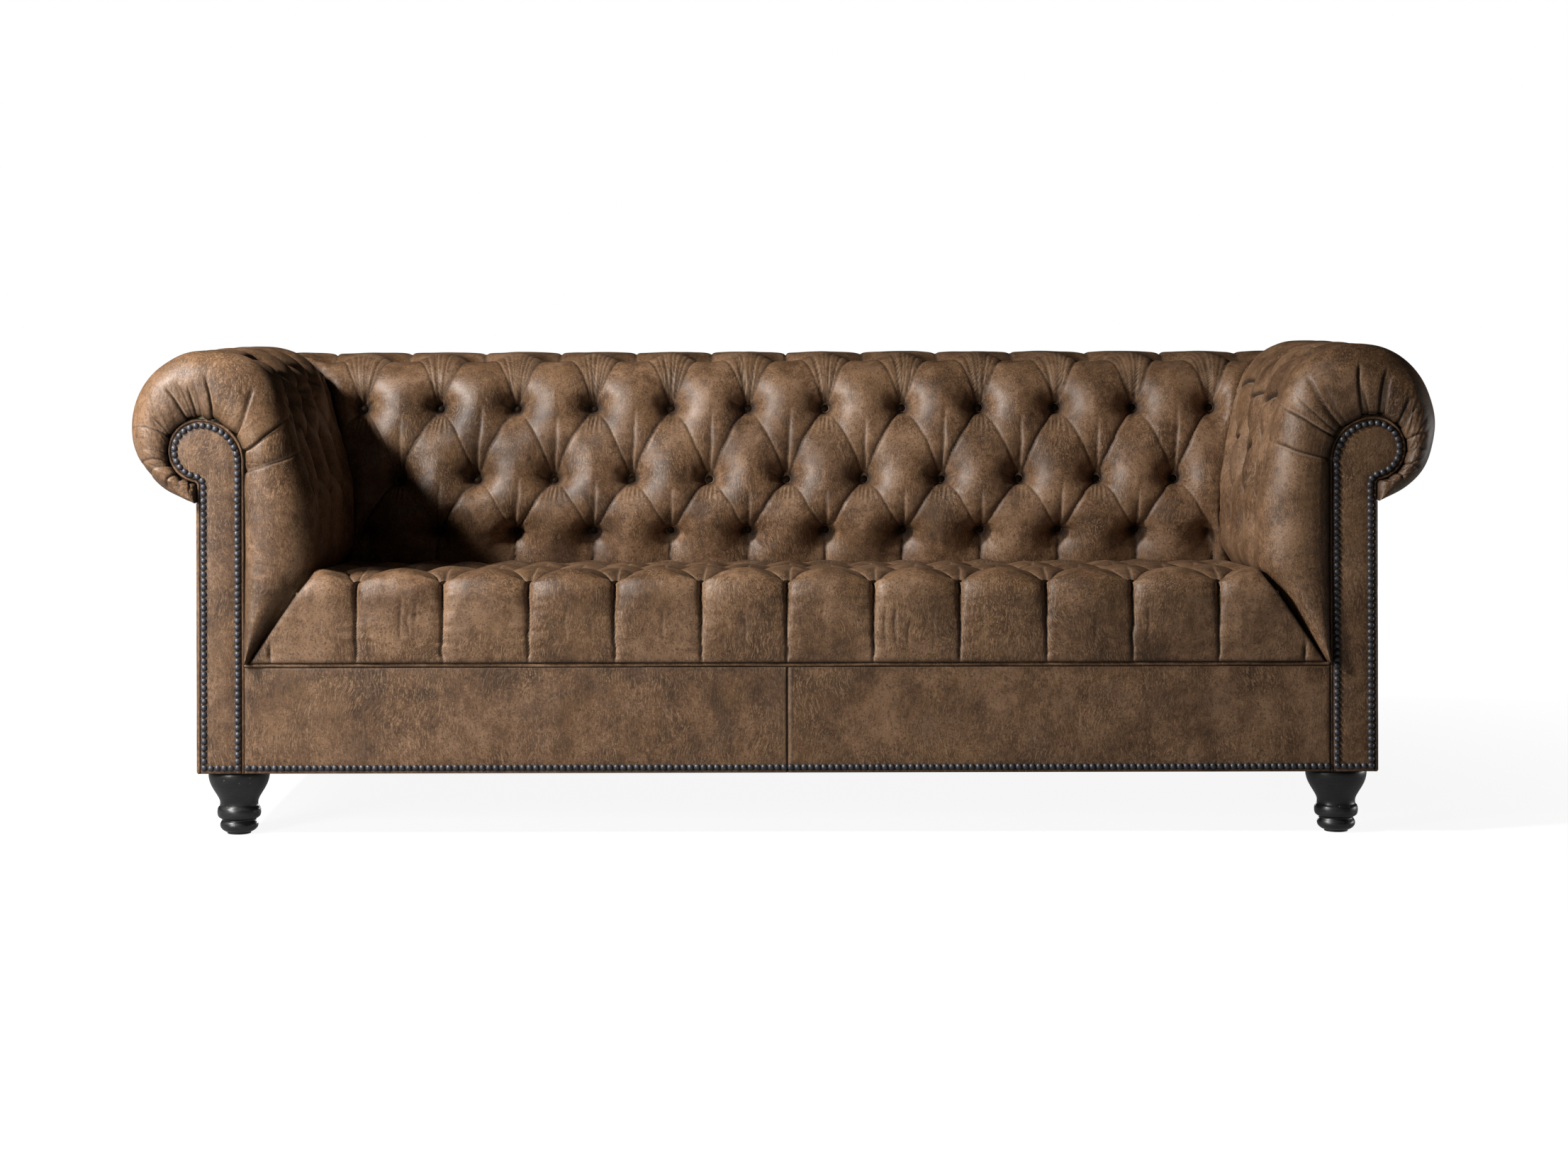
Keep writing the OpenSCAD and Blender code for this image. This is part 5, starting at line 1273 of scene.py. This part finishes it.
def leather(name, tone=1.0, worn=1.0, marked=True, offset=(0, 0, 0), gloss=0.37):
    """Aged leather: clouds and patches, pale hair scratches, dark specks, pale fold lips, partly wear
    and partly painted highlight, and painted shade in creases.
    """
    n = material_nodes(name)

    def toned(colour):
        return tuple(tone * c for c in colour)

    base = n.stretch((1, 1, 1), offset)
    swirl = n.noise(7.0, 3.0, 0.55, base, output="Color")
    swirl = n.add("VectorMath", {0: swirl, 1: (0.07, 0.07, 0.07)}, operation="MULTIPLY").outputs[0]
    warped = n.add("VectorMath", {0: base, 1: swirl}, operation="ADD").outputs[0]
    clouds, patches = n.noise(4.2, vector=warped), n.noise(17.0, 6.0, 0.64, warped)
    blotch, grain = n.noise(75.0, 5.0, 0.68, base), n.noise(330.0, 3.0, 0.7, base)
    streaks = n.noise(24.0, vector=n.stretch((1.0, 1.0, 0.14), offset))
    tint = n.weighted((clouds, 0.26), (patches, 0.30), (streaks, 0.16), (blotch, 0.20), (grain, 0.16))
    colour = n.ramp(tint, [(place, toned(c)) for place, c in LEATHER_COLOURS])
    for away, scale, start, strength, patch in LEATHER_PATCHES:
        place = n.stretch((1, 1, 1), [a + b for a, b in zip(offset, away)])
        share = n.range(n.noise(scale, vector=place), start, start + 0.16, 0.0, strength)
        colour = n.blend(share, colour, toned(patch))

    # Fine pale hair scratches that run with the swirls
    zone = n.range(n.noise(9.0, 4.0, 0.65, warped), 0.40, 0.62, 0.3, 1.0)
    hairs = 0.0
    for turn in HAIR_TURNS:
        lines = n.add("Mapping", {"Vector": warped, "Scale": (1.0, 1.0, 0.15), "Rotation": turn}).outputs[0]
        hairs = n.math("MAXIMUM", hairs, n.range(n.noise(430.0, 2.0, 0.6, lines, 0.6), 0.56, 0.68))
    colour = n.blend(n.times(n.times(hairs, zone), 0.76 * worn), colour, toned(HAIR_COLOUR))
    specks = n.range(n.noise(300.0, 3.0, 0.7, warped), 0.47, 0.34, 0.0, 0.82)
    colour = n.blend(specks, colour, toned(SPECK_COLOUR))

    rough = n.range(patches, 0.3, 0.7, 0.56, 0.44)
    # The pale lips, partly wear and partly painted highlight, and the painted shade in creases, gaps and
    # wells
    if marked:
        wear, crease = n.attribute("wear"), n.attribute("crease")
        worn_and_lit = n.times(wear, n.range(grain, 0.3, 0.6, 0.6, 1.0))
        colour = n.blend(n.times(worn_and_lit, 0.8), colour, toned(WORN_SHEEN_COLOUR))
        colour = n.blend(n.times(crease, 0.97), colour, CREASE_SHADE_COLOUR)
        rough = n.weighted((rough, 1.0), (crease, 0.3))
    normal = n.bump(n.weighted((blotch, 0.2), (grain, 0.4), (hairs, -0.12)), 0.42, 0.0010)
    return n.finish(colour, rough, Normal=normal, Specular_IOR_Level=gloss)


def nail_metal():
    n = material_nodes("nail_gunmetal")
    spots = n.noise(260.0)
    stops = [(0.35, (0.040, 0.040, 0.046)), (0.55, (0.070, 0.070, 0.080)), (0.75, (0.115, 0.115, 0.130))]
    return n.finish(n.ramp(spots, stops), n.range(spots, 0.3, 0.7, 0.52, 0.44), Metallic=0.55)


def painted_wood():
    """Black paint with brush marks, rubbed places and chips down to the wood."""
    n = material_nodes("leg_black_paint")
    brush = n.noise(60.0, 5.0, 0.6, n.stretch((1, 1, 6)))
    rub = n.range(n.noise(180.0, 4.0, 0.7), 0.60, 0.72)
    colour = n.ramp(brush, [(0.3, (0.0075, 0.0075, 0.008)), (0.7, (0.020, 0.0205, 0.022))])
    colour = n.blend(n.times(rub, 0.4), colour, (0.06, 0.055, 0.05))
    chip = n.range(n.weighted((n.attribute("chip"), 1.0), (rub, 0.25)), 0.62, 0.8)
    colour = n.blend(chip, colour, (0.16, 0.12, 0.09))
    return n.finish(colour, n.range(brush, 0.3, 0.7, 0.30, 0.42), Normal=n.bump(brush, 0.25, 0.0006))


def wood(name, dark, light, along):
    """Bare wood whose grain runs along one axis."""
    n = material_nodes(name)
    scale = [60, 60, 60]
    scale[along] = 9
    rings = n.noise(1.0, 6.0, 0.6, n.stretch(scale), 0.6)
    fine = n.noise(9.0, 3.0, 0.6, n.stretch(scale))
    colour = n.ramp(n.weighted((rings, 0.75), (fine, 0.25)), [(0.3, dark), (0.7, light)])
    return n.finish(colour, n.range(rings, 0.3, 0.7, 0.72, 0.58), Normal=n.bump(fine, 0.3, 0.0005))


def woven(name, dark, light, pitch, strength=0.5):
    """Cloth with two sets of threads that cross."""
    n = material_nodes(name)
    threads = []
    for vector in (n.coords, n.stretch((1, -1, 1))):
        inputs = {"Vector": vector, "Scale": 0.5 / pitch / 3.0, "Distortion": 0.6, "Detail": 1.0}
        threads.append(n.add("TexWave", inputs, bands_direction="DIAGONAL").outputs["Fac"])
    weave = n.math("MAXIMUM", *threads)
    cloud = n.noise(30.0, 4.0, 0.55)
    colour = n.ramp(n.weighted((weave, 0.6), (cloud, 0.4)), [(0.2, dark), (0.8, light)])
    rough = n.range(cloud, 0.3, 0.7, 0.95, 0.8)
    return n.finish(colour, rough, Normal=n.bump(weave, strength, pitch * 0.3))


def speckled(name, dark, light, scale, rough, metallic=0.0, strength=0.3):
    n = material_nodes(name)
    spots = n.noise(scale)
    colour = n.ramp(spots, [(0.3, dark), (0.7, light)])
    rough = n.range(spots, 0.3, 0.7, rough + 0.06, rough - 0.06)
    return n.finish(colour, rough, Normal=n.bump(spots, strength, 0.0005), Metallic=metallic)


TUFTED = leather("leather_tufted")
SEAT_LEATHER = leather("leather_seat", worn=1.25, offset=(3.1, 1.7, 0.4))
PANELS = leather("leather_panels", tone=0.96, worn=1.1, offset=(5.3, 0.2, 2.9))
PIPES = leather("leather_piping", tone=0.95, worn=0.8, marked=False, offset=(1.3, 4.1, 2.2))
# The buttons are near black and dull: painted shade of the deep wells they sit in
SHADE_DARK_BUTTONS = leather("leather_buttons_shade_dark", tone=0.10, worn=0.5, marked=False, offset=(2.3, 3.1, 1.2), gloss=0.08)
NAILS = nail_metal()
LEGS = painted_wood()
BEECH_X, BEECH_Y, BEECH_Z = (
    wood("frame_beech_" + axis, (0.42, 0.27, 0.14), (0.66, 0.47, 0.28), i) for i, axis in enumerate("xyz")
)
PLY = wood("scroll_plywood", (0.50, 0.35, 0.20), (0.72, 0.56, 0.36), 2)
FOAM = speckled("pad_foam", (0.72, 0.62, 0.36), (0.88, 0.80, 0.54), 700.0, 0.95, strength=0.5)
JUTE = woven("jute_webbing", (0.20, 0.13, 0.06), (0.50, 0.38, 0.22), 0.003)
CAMBRIC = woven("black_cambric", (0.006, 0.006, 0.006), (0.022, 0.022, 0.023), 0.0012, 0.35)
ZINC = speckled("zinc_steel", (0.42, 0.43, 0.45), (0.62, 0.64, 0.66), 240.0, 0.38, 1.0, 0.1)
GLIDE = speckled("glide_nylon", (0.010, 0.010, 0.011), (0.022, 0.022, 0.023), 300.0, 0.55, strength=0.2)


def dress(obj, material, slot, *nodes, pad=None):
    obj.data.materials.clear()
    obj.data.materials.append(material)
    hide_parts(*nodes)
    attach(obj, "root")


dress(build_back(), TUFTED, "tufted_leather", "back_cover", pad=0.85)
dress(build_seat(), SEAT_LEATHER, "tufted_leather", "seat_cover", pad=0.85)
for side, word in WORDS.items():
    dress(build_arm(side), TUFTED, "tufted_leather", word + "_arm_cover", pad=0.85)
    dress(build_facing(side), PANELS, "panel_leather", word + "_facing_panel")
    dress(build_facing_piping(side), PIPES, "piping_leather", word + "_facing_piping")
    dress(build_front_panel(side), PANELS, "panel_leather", word + "_front_panel")
    dress(build_outside_arm(side), PANELS, "panel_leather", word + "_outside_arm")
    buttons = build_buttons("buttons_arm_" + word, arm_buttons(side))
    dress(buttons, SHADE_DARK_BUTTONS, "button_leather", word + "_arm_buttons")
    nails = build_nails("nails_facing_" + word, [(side * (SIDE_X - u), z) for u, z in facing_nail_places()])
    dress(nails, NAILS, "nail_metal", word + "_facing_nails")
dress(build_seat_piping(), PIPES, "piping_leather", "seat_piping")
dress(build_outside_back(), PANELS, "panel_leather", "outside_back")
dress(build_buttons("buttons_back", back_buttons()), SHADE_DARK_BUTTONS, "button_leather", "back_buttons")
dress(build_buttons("buttons_seat", seat_buttons()), SHADE_DARK_BUTTONS, "button_leather", "seat_buttons")
dress(build_nails("nails_apron", front_nail_places()), NAILS, "nail_metal", "front_panel_nails")
for index, word in enumerate(LEG_PLACES):
    dress(build_leg(index, word), LEGS, "black_leg_wood", word + "_leg")

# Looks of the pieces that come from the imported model
NODE_MATERIALS = {
    BEECH_X: ["front_rail", "rear_rail", "seat_rear_rail", "back_top_rail", "front_edge_strip"],
    BEECH_Y: ["left_side_rail", "right_side_rail", "seat_stretchers", "left_arm_top_rail",
              "right_arm_top_rail"],
    BEECH_Z: ["corner_blocks", "arm_posts", "back_ribs"],
    PLY: ["left_scroll_board", "right_scroll_board"],
    ZINC: ["seat_springs", "spring_clips", "leg_bolts", "leg_t_nuts"],
    JUTE: ["seat_deck_cloth", "back_webbing", "left_arm_webbing", "right_arm_webbing"],
    FOAM: ["seat_foam", "back_foam", "left_arm_foam", "right_arm_foam"],
    CAMBRIC: ["dust_cover"],
    GLIDE: ["front_left_glide", "front_right_glide", "rear_left_glide", "rear_right_glide"],
}
for material, names in NODE_MATERIALS.items():
    for name in names:
        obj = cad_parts[name]
        obj.data.materials.clear()
        obj.data.materials.append(material)

# Studio

WHITE = (1.0, 1.0, 1.0)


def floor_material():
    """A grey floor that looks white to the camera and brightens with the distance."""
    n = material_nodes("studio_floor")
    colour = n.ramp(n.noise(0.7, 2.0, 0.55), [(0.0, (0.14, 0.14, 0.14)), (1.0, (0.15, 0.15, 0.15))])
    diffuse = n.add("BsdfDiffuse", {"Color": colour})
    away = n.add("VectorMath", {0: n.coords}, operation="LENGTH").outputs["Value"]
    glow = n.add("Emission", {"Color": WHITE, "Strength": n.range(away, 1.15, 2.5, 0.91, 1.0)})
    path = n.add("LightPath").outputs
    seen = n.math("MAXIMUM", path["Is Camera Ray"], n.times(path["Is Glossy Ray"], 0.25))
    seen = n.math("MAXIMUM", seen, path["Is Transmission Ray"])
    off = n.add("Emission", {"Strength": 0.0})
    lit = n.add("MixShader", {0: seen, 1: off.outputs[0], 2: glow.outputs[0]})
    return n.connect(n.add("AddShader", {0: diffuse.outputs[0], 1: lit.outputs[0]}))


def build_floor():
    size = 40000.0
    verts = [(-size, -size, 0), (size, -size, 0), (size, size, 0), (-size, size, 0)]
    obj = make_object("studio_floor", verts, [[0, 1, 2, 3]], smooth_shade=False)
    obj.data.materials.append(floor_material())


def build_world():
    """A dim warm light on the sofa behind a white background."""
    n = Nodes(bpy.data.worlds.new("studio_world"), "OutputWorld")
    ambient = n.add("Background", {"Color": (1.0, 0.86, 0.72), "Strength": 0.018})
    white = n.add("Background", {"Color": WHITE, "Strength": 1.0})
    path = n.add("LightPath").outputs
    seen = n.math("MAXIMUM", path["Is Camera Ray"], path["Is Transmission Ray"])
    shader = n.add("MixShader", {0: seen, 1: ambient.outputs[0], 2: white.outputs[0]})
    bpy.context.scene.world = n.connect(shader)


# Each light's name, place, target, size in metres, power in watts and colour
LIGHTS = [
    ("key_light", (-2.62, -1.72, 2.52), (0.0, 0.0, 0.4), (0.34, 0.34), 198.0, (1.0, 0.99, 0.975)),
    ("low_light", (-2.2, -2.45, 0.95), (0.0, 0.0, 0.45), (0.6, 0.6), 50.0, (1.0, 0.99, 0.975)),
    ("fill_light", (-0.6, -5.2, 1.4), (0.0, 0.0, 0.4), (2.5, 1.6), 3.0, (1.0, 0.88, 0.76)),
    ("rear_light", (0.8, 4.2, 0.35), (0.0, 0.3, 0.45), (2.4, 0.5), 75.0, WHITE),
    ("side_light", (4.2, 0.7, 0.35), (1.0, 0.0, 0.45), (1.6, 0.5), 30.0, WHITE),
]


def area_light(name, place, target, size, power, colour):
    data = bpy.data.lights.new(name, "AREA")
    data.shape = "RECTANGLE"
    data.size, data.size_y = size
    data.energy = power
    data.color = colour
    obj = bpy.data.objects.new(name, data)
    bpy.context.scene.collection.objects.link(obj)
    obj.location = place
    obj.rotation_euler = (Vector(target) - Vector(place)).to_track_quat("-Z", "Y").to_euler()


build_floor()
build_world()
for light in LIGHTS:
    area_light(*light)

# The camera as solved from the photo, in its pixels
PHOTO_WIDTH = 2212.0
PHOTO_MIDDLE_ROW = 829.5
HORIZON_ROW = 413.0
FOCAL_LENGTH = 4349.0
SENSOR_WIDTH = 36.0
CAMERA_PLACE = (-0.0042, -5.675, 0.9225)
CAMERA_ROLL = 0.13
camera_data = bpy.data.cameras.new("camera")
camera_data.sensor_width = SENSOR_WIDTH
camera_data.lens = FOCAL_LENGTH / PHOTO_WIDTH * SENSOR_WIDTH
camera_data.shift_y = -(PHOTO_MIDDLE_ROW - HORIZON_ROW) / PHOTO_WIDTH
camera = bpy.data.objects.new("camera", camera_data)
bpy.context.scene.collection.objects.link(camera)
camera.location = CAMERA_PLACE
camera.rotation_euler = (math.radians(90.0), math.radians(CAMERA_ROLL), 0.0)
bpy.context.scene.camera = camera

bpy.context.scene.view_settings.view_transform = "Standard"
